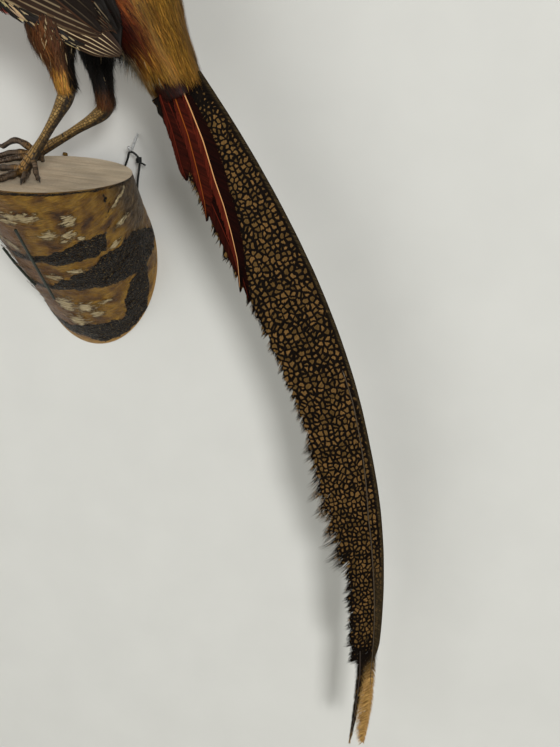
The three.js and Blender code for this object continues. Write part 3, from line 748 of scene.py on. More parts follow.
def scale_material(name, pale, deep, groove):
    """Scaled leg skin, dried and lacquered: horny plates with dark seams, and painted shade at the back."""
    material, tree = start(name, Roughness=0.42, Specular_IOR_Level=0.25)
    place = add(tree, "Attribute", attribute_name="plate", out=1)
    rear_shade, foot, toe = (add(tree, "Attribute", attribute_name=key, out=2) for key in ("rear_shade", "foot", "toe"))
    plates = {"Vector": place, "Scale": 1.0, "Randomness": 0.55}
    seam = add(tree, "TexVoronoi", plates, **FLAT_EDGE)
    lot = add(tree, "TexVoronoi", plates, out=1, **FLAT_CELL)
    wear = add(tree, "TexNoise", {"Vector": place, "Scale": 0.6, "Detail": 4.0})
    # random wear, plus painted shade on the back of the shank and under the toes, darkens the plates towards
    # dark brown
    shade = add(tree, "Math", {0: wear, 1: 1.1, 2: rear_shade}, operation="MULTIPLY_ADD")
    shade = add(tree, "MapRange", {0: shade, 1: 0.62, 2: 1.2})
    base = colour(pale)
    for share, code in ((lot, deep), (foot, "#8E6630"), (toe, "#6A5744"), (shade, "#1E160E")):
        base = add(tree, "Mix", {0: share, 6: base, 7: colour(code)}, **RGBA)
    line = add(tree, "MapRange", {0: seam, 1: 0.03, 2: 0.16})
    return finished(material, Base_Color=add(tree, "Mix", {0: line, 6: colour(groove), 7: base}, **RGBA),
                    Normal=add(tree, "Bump", {"Strength": 0.8, "Distance": 0.0005, "Height": line}))


def horn_material(name, root, tip, roughness=0.32):
    """Horn: smooth keratin, paler or darker towards the tip, with faint growth lines."""
    material, tree = start(name, Roughness=roughness)
    along = add(tree, "Attribute", attribute_name="along", out=2)
    grain = add(tree, "TexNoise", {"Vector": add(tree, "TexCoord", out=3), "Scale": 260.0, "Detail": 3.0})
    place = add(tree, "Math", {0: grain, 1: 0.5, 2: along}, operation="MULTIPLY_ADD")
    return finished(material, Base_Color=add(tree, "ValToRGB", {0: place}, stops=((0.25, root), (1.0, tip))),
                    Normal=add(tree, "Bump", {"Strength": 0.2, "Distance": 0.0003, "Height": grain}))


def bark_material(name):
    """Cherry bark, varnished: golden-brown peel, rough black lenticel bands and silvery torn skin, with
    grey-brown painted shade.
    """
    material, tree = start(name, Specular_IOR_Level=0.12)
    bark = add(tree, "Attribute", attribute_name="bark", out=1)
    band, peel, grey, rim, papery = (add(tree, "Attribute", attribute_name=key, out=2)
                                     for key in ("band", "peel", "grey", "rim", "papery"))
    # bark holds millimetres round and along the log; the peel's fibres run round it
    fibre, tear, shred = (add(tree, "VectorMath", {0: bark, 1: scale}, operation="MULTIPLY")
                          for scale in ((0.09, 0.85, 1.0), (0.6, 1.3, 1.0), (0.35, 1.0, 1.0)))
    fibres, lumps, torn, speck, shred = (
        add(tree, "TexNoise", {"Vector": place, "Scale": scale, "Detail": detail, "Roughness": roughness})
        for place, scale, detail, roughness in (
            (fibre, 1.0, 7.0, 0.72), (bark, 0.06, 5.0, 0.5), (tear, 0.2, 6.0, 0.65), (bark, 0.42, 4.0, 0.8),
            (shred, 0.34, 7.0, 0.75)))
    warts = add(tree, "TexVoronoi", {"Vector": bark, "Scale": 0.5, "Randomness": 1.0}, **FLAT_CELL)
    base = add(tree, "ValToRGB", {0: lumps}, stops=(
        (0.3, "#2E1A0A"), (0.40, "#573913"), (0.5, "#755318"), (0.6, "#8A6826"), (0.75, "#5C3A18")))
    streaks = add(tree, "MapRange", {0: fibres, 1: 0.3, 2: 0.7, 3: 0.35, 4: 1.6})
    base = add(tree, "VectorMath", {0: base, 3: streaks}, operation="SCALE")
    sheet = add(tree, "ValToRGB", {0: fibres}, stops=(
        (0.32, "#2E1B0F"), (0.44, "#553620"), (0.54, "#6E4E30"), (0.62, "#9A7C56"), (0.72, "#C4AC86")))
    # grey-brown mottling, partly painted shade: it stands for the shade that the tail and body cast on the
    # log's right side
    shaded = add(tree, "ValToRGB", {0: torn}, stops=(
        (0.3, "#1E1710"), (0.5, "#463726"), (0.64, "#6E5B42"), (0.8, "#A08B6A")))
    gold = add(tree, "VectorMath", {0: linear("#A07A40"), 3: streaks}, operation="SCALE")
    for share, layer in ((papery, sheet), (grey, shaded), (rim, gold)):
        base = add(tree, "Mix", {0: share, 6: base, 7: layer}, **RGBA)
    # torn silvery skin with a dark shadow line round each torn piece
    raw = add(tree, "Math", {0: shred, 1: 2.6, 2: peel}, operation="MULTIPLY_ADD")
    half = add(tree, "Math", {0: raw, 1: 0.5}, operation="MULTIPLY")
    line = add(tree, "ValToRGB", {0: half}, stops=((0.82, "#FFFFFF"), (0.915, "#6E6E6E"), (0.922, "#FFFFFF")))
    base = add(tree, "VectorMath", {0: base, 1: line}, operation="MULTIPLY")
    silver = add(tree, "MapRange", {0: raw, 1: 1.84, 2: 1.9})
    skin = add(tree, "ValToRGB", {0: fibres}, stops=(
        (0.34, "#6E5B3E"), (0.46, "#9A8660"), (0.58, "#C2B28C"), (0.7, "#E6DCC0")))
    rough = add(tree, "Math", {0: torn, 1: 1.1, 2: band}, operation="MULTIPLY_ADD")
    rough = add(tree, "MapRange", {0: rough, 1: 1.0, 2: 1.1})
    crust = add(tree, "ValToRGB", {0: warts}, stops=(
        (0.0, "#8A6A3C"), (0.14, "#3E2810"), (0.3, "#0E0804"), (0.5, "#020101")))
    pale = add(tree, "MapRange", {0: speck, 1: 0.60, 2: 0.64, 3: 0.0, 4: 0.9})
    crust = add(tree, "Mix", {0: pale, 6: crust, 7: colour("#B89A64")}, **RGBA)
    for share, layer in ((silver, skin), (rough, crust)):
        base = add(tree, "Mix", {0: share, 6: base, 7: layer}, **RGBA)
    knobs = add(tree, "MapRange", {0: warts, 1: 0.0, 2: 0.5, 3: 1.0, 4: 0.0})
    knobs = add(tree, "Math", {0: knobs, 1: rough}, operation="MULTIPLY")
    height = add(tree, "Math", {0: knobs, 1: 1.4, 2: fibres}, operation="MULTIPLY_ADD")
    height = add(tree, "Math", {0: silver, 1: 0.45, 2: height}, operation="MULTIPLY_ADD")
    return finished(material, Base_Color=base, Roughness=add(tree, "MapRange", {0: rough, 3: 0.34, 4: 0.36}),
                    Normal=add(tree, "Bump", {"Strength": 1.0, "Distance": 0.0022, "Height": height}))


def end_grain_material(name):
    """Weathered sawn wood: grey-tan end grain with saw marks and stains."""
    material, tree = start(name, Roughness=0.8)
    place = add(tree, "TexCoord", out=3)
    wide = add(tree, "VectorMath", {0: place, 1: (16.0, 90.0, 16.0)}, operation="MULTIPLY")
    saw = add(tree, "TexNoise", {"Vector": wide, "Scale": 1.0, "Detail": 6.0, "Roughness": 0.65})
    base = add(tree, "ValToRGB", {0: saw}, stops=(
        (0.24, "#8C7558"), (0.34, "#C2AE90"), (0.55, "#D2BFA2"), (0.75, "#DDCCB0")))
    # fine grain, then wide stains
    for scale, detail, low, high, deep, pale in ((900.0, 2.0, 0.3, 0.7, 0.85, 1.12),
                                                 (28.0, 3.0, 0.35, 0.65, 0.8, 1.08)):
        grain = add(tree, "TexNoise", {"Vector": place, "Scale": scale, "Detail": detail})
        light = add(tree, "MapRange", {0: grain, 1: low, 2: high, 3: deep, 4: pale})
        base = add(tree, "VectorMath", {0: base, 3: light}, operation="SCALE")
    return finished(material, Base_Color=base,
                    Normal=add(tree, "Bump", {"Strength": 0.5, "Distance": 0.0006, "Height": saw}))


def metal_material(name, code, roughness, metallic, blotch):
    """Drawn wire: bright steel, or black annealed wire with its thin oxide."""
    material, tree = start(name, Roughness=roughness, Metallic=metallic)
    stain = add(tree, "TexNoise", {"Vector": add(tree, "TexCoord", out=3), "Scale": 500.0, "Detail": 3.0})
    base = add(tree, "ValToRGB", {0: stain}, stops=((0.35, blotch), (0.6, code)))
    return finished(material, Base_Color=base)


def eye_material(name):
    """Glass eye: pale yellow iris round a small black pupil under clear polished glass."""
    material, tree = start(name, Roughness=0.05, Coat_Weight=1.0, Coat_Roughness=0.02)
    along = add(tree, "Attribute", attribute_name="along", out=2)
    return finished(material, Base_Color=add(tree, "ValToRGB", {0: along}, stops=(
        (0.0, "#050404"), (0.155, "#060505"), (0.17, "#D2AC40"), (0.3, "#F0DA84"), (0.4, "#DDC060"),
        (0.42, "#2A1D10"), (1.0, "#1A120B"))))


def plaster_material(name, code):
    """Painted plaster: one pale matt colour with a faint even grain, clear when seen from behind."""
    material, tree = start(name, Roughness=0.85)
    grain = add(tree, "TexNoise", {"Vector": add(tree, "TexCoord", out=3), "Scale": 14.0, "Detail": 3.0})
    light = add(tree, "MapRange", {0: grain, 1: 0.3, 2: 0.7, 3: 0.965, 4: 1.0})
    base = add(tree, "VectorMath", {0: linear(code), 3: light}, operation="SCALE")
    facing = add(tree, "NewGeometry", out=6)
    clear = add(tree, "BsdfTransparent")
    paint = tree.nodes["Principled BSDF"].outputs[0]
    mixed = add(tree, "MixShader", {0: facing, 1: paint, 2: clear})
    tree.links.new(mixed, tree.nodes["Material Output"].inputs["Surface"])
    return finished(material, Base_Color=base)


# ---- markings shared by the skin and the coat ----

def body_tint(down, angle, hues):
    """The plumage colour at places on the body."""
    way = SPINE_LENGTH - down
    turn = np.abs((angle + PI) % (2 * PI) - PI) / PI
    rump = toward(hues.rump, hues.amber, blend(0.36, 0.46, turn) * blend(0.035, 0.065, way))
    rump = toward(rump, hues.crimson * 0.62, blend(0.42, 0.52, turn) * blend(0.04, 0.06, way))
    rump = toward(rump, hues.ochre * 0.6, blend(0.62, 0.8, turn) * blend(0.055, 0.035, way))
    vent = blend(0.66, 0.80, turn) * blend(0.045, 0.06, way) * blend(0.13, 0.10, way)
    rump = toward(rump, hues.black, vent)
    upper = toward(hues.green, hues.scarlet, blend(0.30, 0.42, turn))
    tint = toward(rump, upper, blend(0.155, 0.175, way + 0.02 * turn))
    return toward(tint, hues.tan, blend(0.315, 0.35, way) * blend(0.35, 0.6, turn))


def leg_tint(name, share, angle, hues):
    """Thigh feathers: rufous in front, black behind, with an ochre patch low on the near leg; the far thigh
    is painted darker, as shade.
    """
    front = blend(-0.3, 0.55, np.cos(angle - 2.3))
    # painted shade: the far thigh is black but for dull rufous near the hock
    if name == "right":
        return toward(hues.black, hues.rufous * 0.6, blend(0.62, 0.9, share) * (0.35 + 0.65 * front))
    tint = toward(hues.black * 1.2, hues.rufous * 0.55, front)
    return toward(tint, hues.ochre * 0.9, blend(0.55, 0.72, share) * front)


def hues_of(context):
    """The plumage's colours, read from the sidebar's settings."""
    settings, keys = context.scene.pheasant, PheasantSettings.__annotations__
    return SimpleNamespace(**{key: np.array(getattr(settings, key)) for key in keys})


def varied(rng, count, tint, light, hue):
    """One colour for each feather, a little lighter, darker, redder or yellower than its neighbours'."""
    tint = tint * (1 + rng.normal(0, light, (count, 1)))
    tint = tint * (1 + rng.normal(0, hue, (count, 3)))
    return np.clip(tint, 0.001, 0.95)


def roots(rng, surface, count, u_range, v_range):
    """Evenly scattered roots on a surface."""
    u = rng.uniform(*u_range, count * 5)
    v = rng.uniform(*v_range, count * 5)
    per_u, per_v = surface.stretch(u, v)
    kept = rng.random(len(u)) < per_u * per_v / (per_u * per_v).max()
    return u[kept][:count], v[kept][:count]


def rows_of(rng, surface, u_range, v_range, row_gap, feather_gap):
    """Roots in staggered rows, from the lowest row up, so that each row covers the one below."""
    all_u, all_v = [], []
    tall, wide = u_range[1] - u_range[0], v_range[1] - v_range[0]
    across = np.linspace(*v_range, 60)
    per_u, per_v = surface.stretch(np.full(60, sum(u_range) / 2), across)
    deep, count = per_u.mean() * tall, int((per_v * wide / 60).sum() / feather_gap)
    for row in range(int(deep / row_gap) + 1):
        u = np.full(count, u_range[1] - tall * row * row_gap / deep)
        v = np.linspace(*v_range, count) + (row % 2) * wide / count / 2
        all_u.append(u + rng.normal(0, 0.25, count) * row_gap * tall / deep)
        all_v.append(v + rng.normal(0, 0.25, count) * wide / count)
    return np.concatenate(all_u), np.concatenate(all_v)


# ---- skin ----

SKIN_VOXEL, LEG_VOXEL = 2.2 * MM, 0.75 * MM
COAT_DEPTH, FACE_DEPTH = 3.2 * MM, 1.4 * MM  # how far the skin lies under the feathers' outside


def table_of(mesh, key):
    """The places or the normals of a mesh's points."""
    table = np.empty(len(mesh.vertices) * 3)
    mesh.vertices.foreach_get(key, table)
    return table.reshape(-1, 3)


def remeshed(piece, voxel, smooth_steps):
    """Joins a piece's overlapping closed parts into one smooth mesh, and gives its points and normals."""
    remesh = piece.modifiers.new("join", "REMESH")
    remesh.mode = "VOXEL"
    remesh.voxel_size = voxel
    soften = piece.modifiers.new("soften", "SMOOTH")
    soften.factor = 0.5
    soften.iterations = smooth_steps
    mesh = bpy.data.meshes.new_from_object(piece.evaluated_get(bpy.context.evaluated_depsgraph_get()))
    piece.modifiers.clear()
    piece.data = mesh
    mesh.polygons.foreach_set("use_smooth", np.ones(len(mesh.polygons), bool))
    return table_of(mesh, "co"), table_of(mesh, "normal")


def surface_coordinates(surface, points):
    """The nearest u and v of a surface for each point, and its distance."""
    flat = surface.grid.reshape(-1, 3)
    tree = KDTree(len(flat))
    for i, place in enumerate(flat):
        tree.insert(place, i)
    tree.balance()
    found = [tree.find(point)[1:] for point in points]
    index = np.array([i for i, _ in found])
    i, j = np.unravel_index(index, surface.grid.shape[:2])
    return (surface.start[0] + i * surface.step[0], surface.start[1] + j * surface.step[1],
            np.array([d for _, d in found]))


def closed_tube(surface, u_range, v_count, u_count, lift):
    u, v = pairs(np.linspace(*u_range, u_count), np.linspace(-PI, PI, v_count, endpoint=False))
    return surface.points(u, v, lift)


def make_skin(hues):
    """One skin for head, neck, trunk, rump and thighs, inside the coat by its depth."""
    mesher = Mesher()
    body = closed_tube(BODY_SURFACE, (0.0, SPINE_LENGTH - 2 * MM), 96, 120, -COAT_DEPTH)
    head = closed_tube(HEAD_SURFACE, (0.03, 0.97), 72, 48, -FACE_DEPTH)
    u, v = pairs(np.linspace(0.0, 0.97, 40), turns(40))
    thighs = [surface.points(u, v, -(2.6 * MM * (1 - u) + 0.8 * MM)) for surface in THIGH_SURFACES.values()]
    for tube in (body, head, *thighs):
        mesher.add(tube, wrap=True, caps=True)
    piece = mesher.make("skin", skin_material("dried_skin_and_down"))
    points, _ = remeshed(piece, SKIN_VOXEL, 4)
    down, angle, reach = surface_coordinates(BODY_SURFACE, points)
    tint = body_tint(down, angle, hues)
    near_head = surface_coordinates(HEAD_SURFACE, points)[2] < reach
    tint[near_head] = hues.tan
    for name, surface in THIGH_SURFACES.items():
        share, turn, to_leg = surface_coordinates(surface, points)
        near_leg = to_leg < reach
        tint[near_leg] = leg_tint(name, share, turn, hues)[near_leg]
    put_attribute(piece.data, "tint", opaque(tint))
    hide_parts("rump", "trunk", "neck", "head", "thigh_left", "thigh_right")


# ---- body coat ----

RUMP_REACH = 150 * MM  # how far up the back the hair-like golden feathers go


def make_rump_coat(hues):
    """Long hair-like golden strands, crimson lower down, and the dark feathers they hang over."""
    rng = np.random.default_rng(11)
    mesher = Mesher()
    surface = BODY_SURFACE
    # dark maroon and black barbs that cover the rump's end under the golden strands
    u, v = roots(rng, surface, RUMP_BARBS, (SPINE_LENGTH - 34 * MM, SPINE_LENGTH - 1 * MM), (-PI, PI))
    turn = np.abs(v) / PI
    kept = rng.random(len(u)) < blend(0.16, 0.32, turn)
    u, v, turn = u[kept], v[kept], turn[kept]
    count = len(u)
    tint = toward(hues.crimson * 0.45, hues.black, rng.random(count))
    tint = toward(tint, hues.ochre * 0.5, blend(0.7, 0.8, turn))
    lay(mesher, surface, u, v, np.minimum(rng.uniform(12, 20, count) * MM, SPINE_LENGTH - u + 5 * MM),
        rng.uniform(0.8, 1.6, count) * MM, hair_outline, columns=2, turn=rng.normal(0, 0.1, count),
        lift=-COAT_DEPTH + rng.uniform(0.2, 1.0, count) * MM, rise=rng.uniform(0, 0.6, count) * MM, camber=0,
        seed=rng.random(count), tint=varied(rng, count, tint, 0.25, 0.05))
    # the golden coat
    u, v = roots(rng, surface, RUMP_STRANDS, (SPINE_LENGTH - RUMP_REACH, SPINE_LENGTH - 5 * MM), (-PI, PI))
    length = rng.uniform(24, 42, len(u)) * MM
    turn = np.abs(v) / PI
    over = np.interp(turn, [0.0, 0.25, 0.5, 0.65, 0.8], [1, 0, -9, -12, -2]) * MM
    length = np.minimum(length, SPINE_LENGTH - u + over + rng.normal(-1, 3.5, len(u)) * MM)
    kept = length > 8 * MM
    u, v, length, turn = u[kept], v[kept], length[kept], turn[kept]
    count = len(u)
    place = surface.points(u, v, 0.0)
    sway = 0.2 * ripple(place, 14 * MM) + 0.18 * ripple(place, 5 * MM, 7.0)
    tint = body_tint(u, v, hues)
    # locks: streaks of light and shade that run down the coat
    lock = rippled(u / (22 * MM), v * surface.stretch(u, v)[1] / (1.7 * MM), 1.0, 3.0)
    streak = 0.95 * lock + 0.4 * ripple(place, 5 * MM, 8.0)
    tint = varied(rng, count, tint * np.clip(0.85 + streak, 0.12, 2.0)[:, None], 0.22, 0.05)
    wisp = (turn > 0.72) & (rng.random(count) < 0.3)
    tint[wisp] = hues.cream * 0.9
    lay(mesher, surface, u, v, length, rng.uniform(0.55, 1.3, count) * MM, hair_outline, rows=6, columns=2,
        turn=sway + rng.normal(0, 0.08, count), bend=rng.normal(0, 0.10, count),
        lift=-COAT_DEPTH + rng.uniform(0.3, 2.6, count) * MM,
        rise=rng.uniform(0.4, 3.2, count) * MM, camber=0, seed=rng.random(count), tint=tint)
    # pale and black wisps of down that hang from the vent
    count = VENT_WISPS
    u = rng.uniform(SPINE_LENGTH - 84 * MM, SPINE_LENGTH - 14 * MM, count)
    v = (PI + rng.normal(0, 0.5, count) + PI) % (2 * PI) - PI
    way = SPINE_LENGTH - u
    dark = rng.random(count) < blend(0.035, 0.055, way)
    tint = np.where(dark[:, None], hues.black, hues.cream * 0.85 * rng.uniform(0.35, 1.1, (count, 1)))
    long = np.interp(way, [0.014, 0.03, 0.05, 0.084], [10, 20, 26, 26]) * MM * rng.uniform(0.5, 1.1, count)
    hang = np.interp(way, [0.014, 0.035, 0.06, 0.084], [4, 13, 18, 16]) * MM
    lay(mesher, surface, u, v, long, rng.uniform(0.35, 0.7, count) * MM, hair_outline, rows=6, columns=2,
        turn=rng.normal(0, 0.25, count), bend=rng.normal(0, 0.2, count), lift=-COAT_DEPTH,
        rise=hang * rng.uniform(0.2, 1.1, count), camber=0, seed=rng.random(count),
        tint=varied(rng, count, tint, 0.15, 0.03))
    piece = mesher.make("coat_rump", plumage_material("silky_rump_feather", 0.5, contrast=0.35, root=0.4))


def make_breast_coat(hues):
    """Loose scarlet breast, flank and belly feathers."""
    rng = np.random.default_rng(12)
    mesher = Mesher()
    surface = BODY_SURFACE
    u, v = roots(rng, surface, BREAST_FEATHERS, (0.02, SPINE_LENGTH - 75 * MM), (-PI, PI))
    low = np.abs(v) > 0.30 * PI
    u, v = u[low], v[low]
    place = surface.points(u, v, 0.0)
    length = (15 + 9 * blend(0.05, 0.2, u)) * MM * rng.uniform(0.8, 1.15, len(u))
    tint = varied(rng, len(u), body_tint(u, v, hues), 0.16, 0.05)
    lay(mesher, surface, u, v, length, rng.uniform(2.2, 4.4, len(u)) * MM, leaf_outline, rows=4,
        turn=0.2 * ripple(place, 18 * MM) + rng.normal(0, 0.12, len(u)), bend=rng.normal(0, 0.08, len(u)),
        lift=-COAT_DEPTH + rng.uniform(0.6, 2.4, len(u)) * MM, rise=rng.uniform(0.4, 2.0, len(u)) * MM,
        camber=0.25 * MM, seed=rng.random(len(u)), tint=tint)
    piece = mesher.make("coat_breast", plumage_material("soft_breast_feather", 0.6, contrast=0.35))


def make_back_coat(hues):
    """Round metallic green feathers with velvet black edges on the upper back."""
    rng = np.random.default_rng(13)
    mesher = Mesher()
    u, v = rows_of(rng, BODY_SURFACE, (0.10, SPINE_LENGTH - 146 * MM), (-0.42 * PI, 0.42 * PI), 6 * MM,
                   8 * MM)
    tint = varied(rng, len(u), hues.green, 0.12, 0.06)
    lay(mesher, BODY_SURFACE, u, v, rng.uniform(19, 23, len(u)) * MM, rng.uniform(13, 16, len(u)) * MM,
        leaf_outline, rows=8, columns=7, turn=rng.normal(0, 0.06, len(u)),
        lift=-1.6 * MM + rng.uniform(0, 0.5, len(u)) * MM, rise=2.4 * MM, camber=0.7 * MM,
        seed=rng.random(len(u)), tint=tint)
    piece = mesher.make("coat_back", plumage_material("metallic_green_feather", 0.34, contrast=0.25,
                                                      mark=dark_edge, Metallic=0.55))


def make_neck_coat(hues):
    """Short close feathers of the throat and the front of the neck."""
    rng = np.random.default_rng(14)
    mesher = Mesher()
    u, v = roots(rng, BODY_SURFACE, NECK_FEATHERS, (-0.004, 0.10), (-PI, PI))
    tint = varied(rng, len(u), body_tint(u, v, hues), 0.12, 0.04)
    size = 5 + 9 * blend(0.0, 0.10, u)
    lay(mesher, BODY_SURFACE, u, v, size * MM * rng.uniform(0.85, 1.2, len(u)), size * 0.28 * MM,
        leaf_outline, rows=4, turn=rng.normal(0, 0.1, len(u)),
        lift=-FACE_DEPTH - 0.9 * MM + rng.uniform(0, 1, len(u)) * MM,
        rise=rng.uniform(0.3, 1.1, len(u)) * MM, camber=0.15 * MM, seed=rng.random(len(u)), tint=tint)
    piece = mesher.make("coat_neck", plumage_material("short_neck_feather", 0.6, contrast=0.3))


def make_face_coat(hues):
    """The smallest feathers, velvety on cheeks and throat, parted round the eye."""
    rng = np.random.default_rng(15)
    mesher = Mesher()
    u, v = roots(rng, HEAD_SURFACE, FACE_FEATHERS, (0.07, 0.93), (-PI, PI))
    place = HEAD_SURFACE.points(u, v, 0.0)
    kept = np.ones(len(u), bool)
    for side in (-1, 1):
        centre = head_place(EYE_FORWARD, EYE_UP, side * 12.6 * MM)
        kept &= np.linalg.norm(place - centre, axis=1) > 5.6 * MM
    u, v = u[kept], v[kept]
    crown = blend(0.3, 0.18, np.abs(v) / PI)
    tint = varied(rng, len(u), toward(hues.tan, hues.gold, crown), 0.1, 0.04)
    length = (2.2 + 2.6 * u) * MM * rng.uniform(0.85, 1.2, len(u))
    lay(mesher, HEAD_SURFACE, u, v, length, rng.uniform(0.8, 1.3, len(u)) * MM, leaf_outline, rows=3,
        turn=rng.normal(0, 0.14, len(u)), lift=-FACE_DEPTH + rng.uniform(0.1, 0.7, len(u)) * MM,
        rise=rng.uniform(0.2, 0.7, len(u)) * MM, camber=0.08 * MM, seed=rng.random(len(u)), tint=tint)
    piece = mesher.make("coat_face", plumage_material("velvet_face_feather", 0.6, contrast=0.25))


CAPE_START, CAPE_END, CAPE_SPREAD = 0.94, 0.60, 2.1


def make_cape(hues):
    """The cape's square-ended orange feathers, in rows from the nape to the shoulders."""
    rng = np.random.default_rng(16)
    mesher = Mesher()
    top, end = down_at(CAPE_START), down_at(CAPE_END)
    for row in range(CAPE_ROWS, -1, -1):
        share = row / CAPE_ROWS
        length = (14 + 16 * share) * MM
        u_row = top + (end - top) * share - length * 0.9 * share
        spread = CAPE_SPREAD * (1 - 0.25 * share)
        width = (7.0 + 4.5 * share) * MM
        round_neck = BODY_SURFACE.stretch(np.array([u_row]), np.array([0.0]))[1][0]
        count = int(2 * spread * round_neck / (width * 0.5))
        v = np.linspace(-spread, spread, count) + (row % 2) * spread / count + rng.normal(0, 0.02, count)
        u = u_row + rng.normal(0, 1.0, count) * MM
        tint = varied(rng, count, hues.orange, 0.1, 0.05)
        lay(mesher, BODY_SURFACE, u, v, length * rng.uniform(0.92, 1.08, count), width, square_outline,
            rows=9, columns=7, turn=0.12 * v + rng.normal(0, 0.05, count),
            lift=(0.5 + 0.5 * share) * MM + rng.uniform(0, 0.5, count) * MM, rise=(2.6 - 1.2 * share) * MM,
            camber=0.5 * MM, seed=rng.random(count), tint=tint,
            bake_area=((top - 0.03, end), (-CAPE_SPREAD - 0.1, CAPE_SPREAD + 0.1)))
    material = plumage_material("barred_cape_feather", 0.45, contrast=0.3, root=0.8, mark=cape_bars)
    piece = mesher.make("cape_feathers", material)
    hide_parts("cape")


def make_crest(hues):
    """The silky crest: long golden strands from the forehead over the crown and nape."""
    rng = np.random.default_rng(17)
    mesher = Mesher()
    count = CREST_STRANDS
    u, v = roots(rng, CREST_SURFACE, count, (0.0, 0.8), (-PI, PI))
    per_u, _ = CREST_SURFACE.stretch(u, v)
    length = np.minimum(rng.uniform(20, 34, count) * MM, (1.02 - u) * per_u)
    tint = varied(rng, count, hues.gold * (1.35, 1.3, 1.0), 0.14, 0.04)
    lay(mesher, CREST_SURFACE, u, v, length, rng.uniform(0.7, 1.5, count) * MM, hair_outline, rows=6,
        columns=2, turn=rng.normal(0, 0.06, count), bend=rng.normal(0, 0.05, count),
        lift=rng.uniform(-2.4, 0.0, count) * MM, rise=rng.uniform(-0.2, 0.9, count) * MM, camber=0,
        seed=rng.random(count), tint=tint)
    core = closed_tube(CREST_SURFACE, (0.02, 0.93), 40, 50, -2.6 * MM)
    mesher.add(core, wrap=True, caps=True, along=0.5, across=0.4, seed=0.2, tint=opaque(hues.gold * 0.6),
               bake=(0.001, 0.001))
    material = plumage_material("silky_crest_feather", 0.42, contrast=0.3, root=0.7)
    piece = mesher.make("crest_feathers", material)
    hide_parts("crest")


# ---- wings ----

def blades(mesher, surface, tint, web, feathers, width, quill, lift=0.2 * MM, seed=0.0, fade=0.0):
    """Long wing feathers along courses of p and q, each given at its root, middle and tip."""
    share = np.linspace(0, 1, 30)
    across = np.linspace(-1, 1, 9)
    for i, course in enumerate(feathers):
        line = through(course, share)
        per_p, per_q = surface.stretch(line[:, 0], line[:, 1])
        slope = unit(np.gradient(line, axis=0) * np.stack([per_p, per_q], axis=1))
        half = width[i] / 2 * blade_outline(share)
        step_p = -slope[:, 1] * half / per_p
        step_q = slope[:, 0] * half / per_q
        at_p = line[:, :1] + step_p[:, None] * across
        at_q = line[:, 1:] + step_q[:, None] * across
        height = lift + i * 0.16 * MM + 0.6 * MM * share[:, None] + 0.35 * MM * (1 - across ** 2)[None]
        root = 0.05 + 0.9 * np.clip(line[0], 0, 1)
        patch = np.stack(np.broadcast_arrays(
            root[0] + 0.05 * share[:, None], root[1] + 0.012 * (across[None] + 1)), axis=-1)
        shade = toward(web[i], np.array(linear("#170F0A")), blend(0.3, 0.5, line[:, 0]) * fade)
        edge = toward(tint[i], np.array(linear("#3A281A")), blend(0.4, 0.85, share) * 0.85)
        mesher.add(surface.points(at_p, at_q, height), along=share[:, None, None], across=across[:, None],
                   seed=seed + 0.137 * i, quill=quill, tint=opaque(edge)[:, None], web=opaque(shade)[:, None],
                   bake=patch)


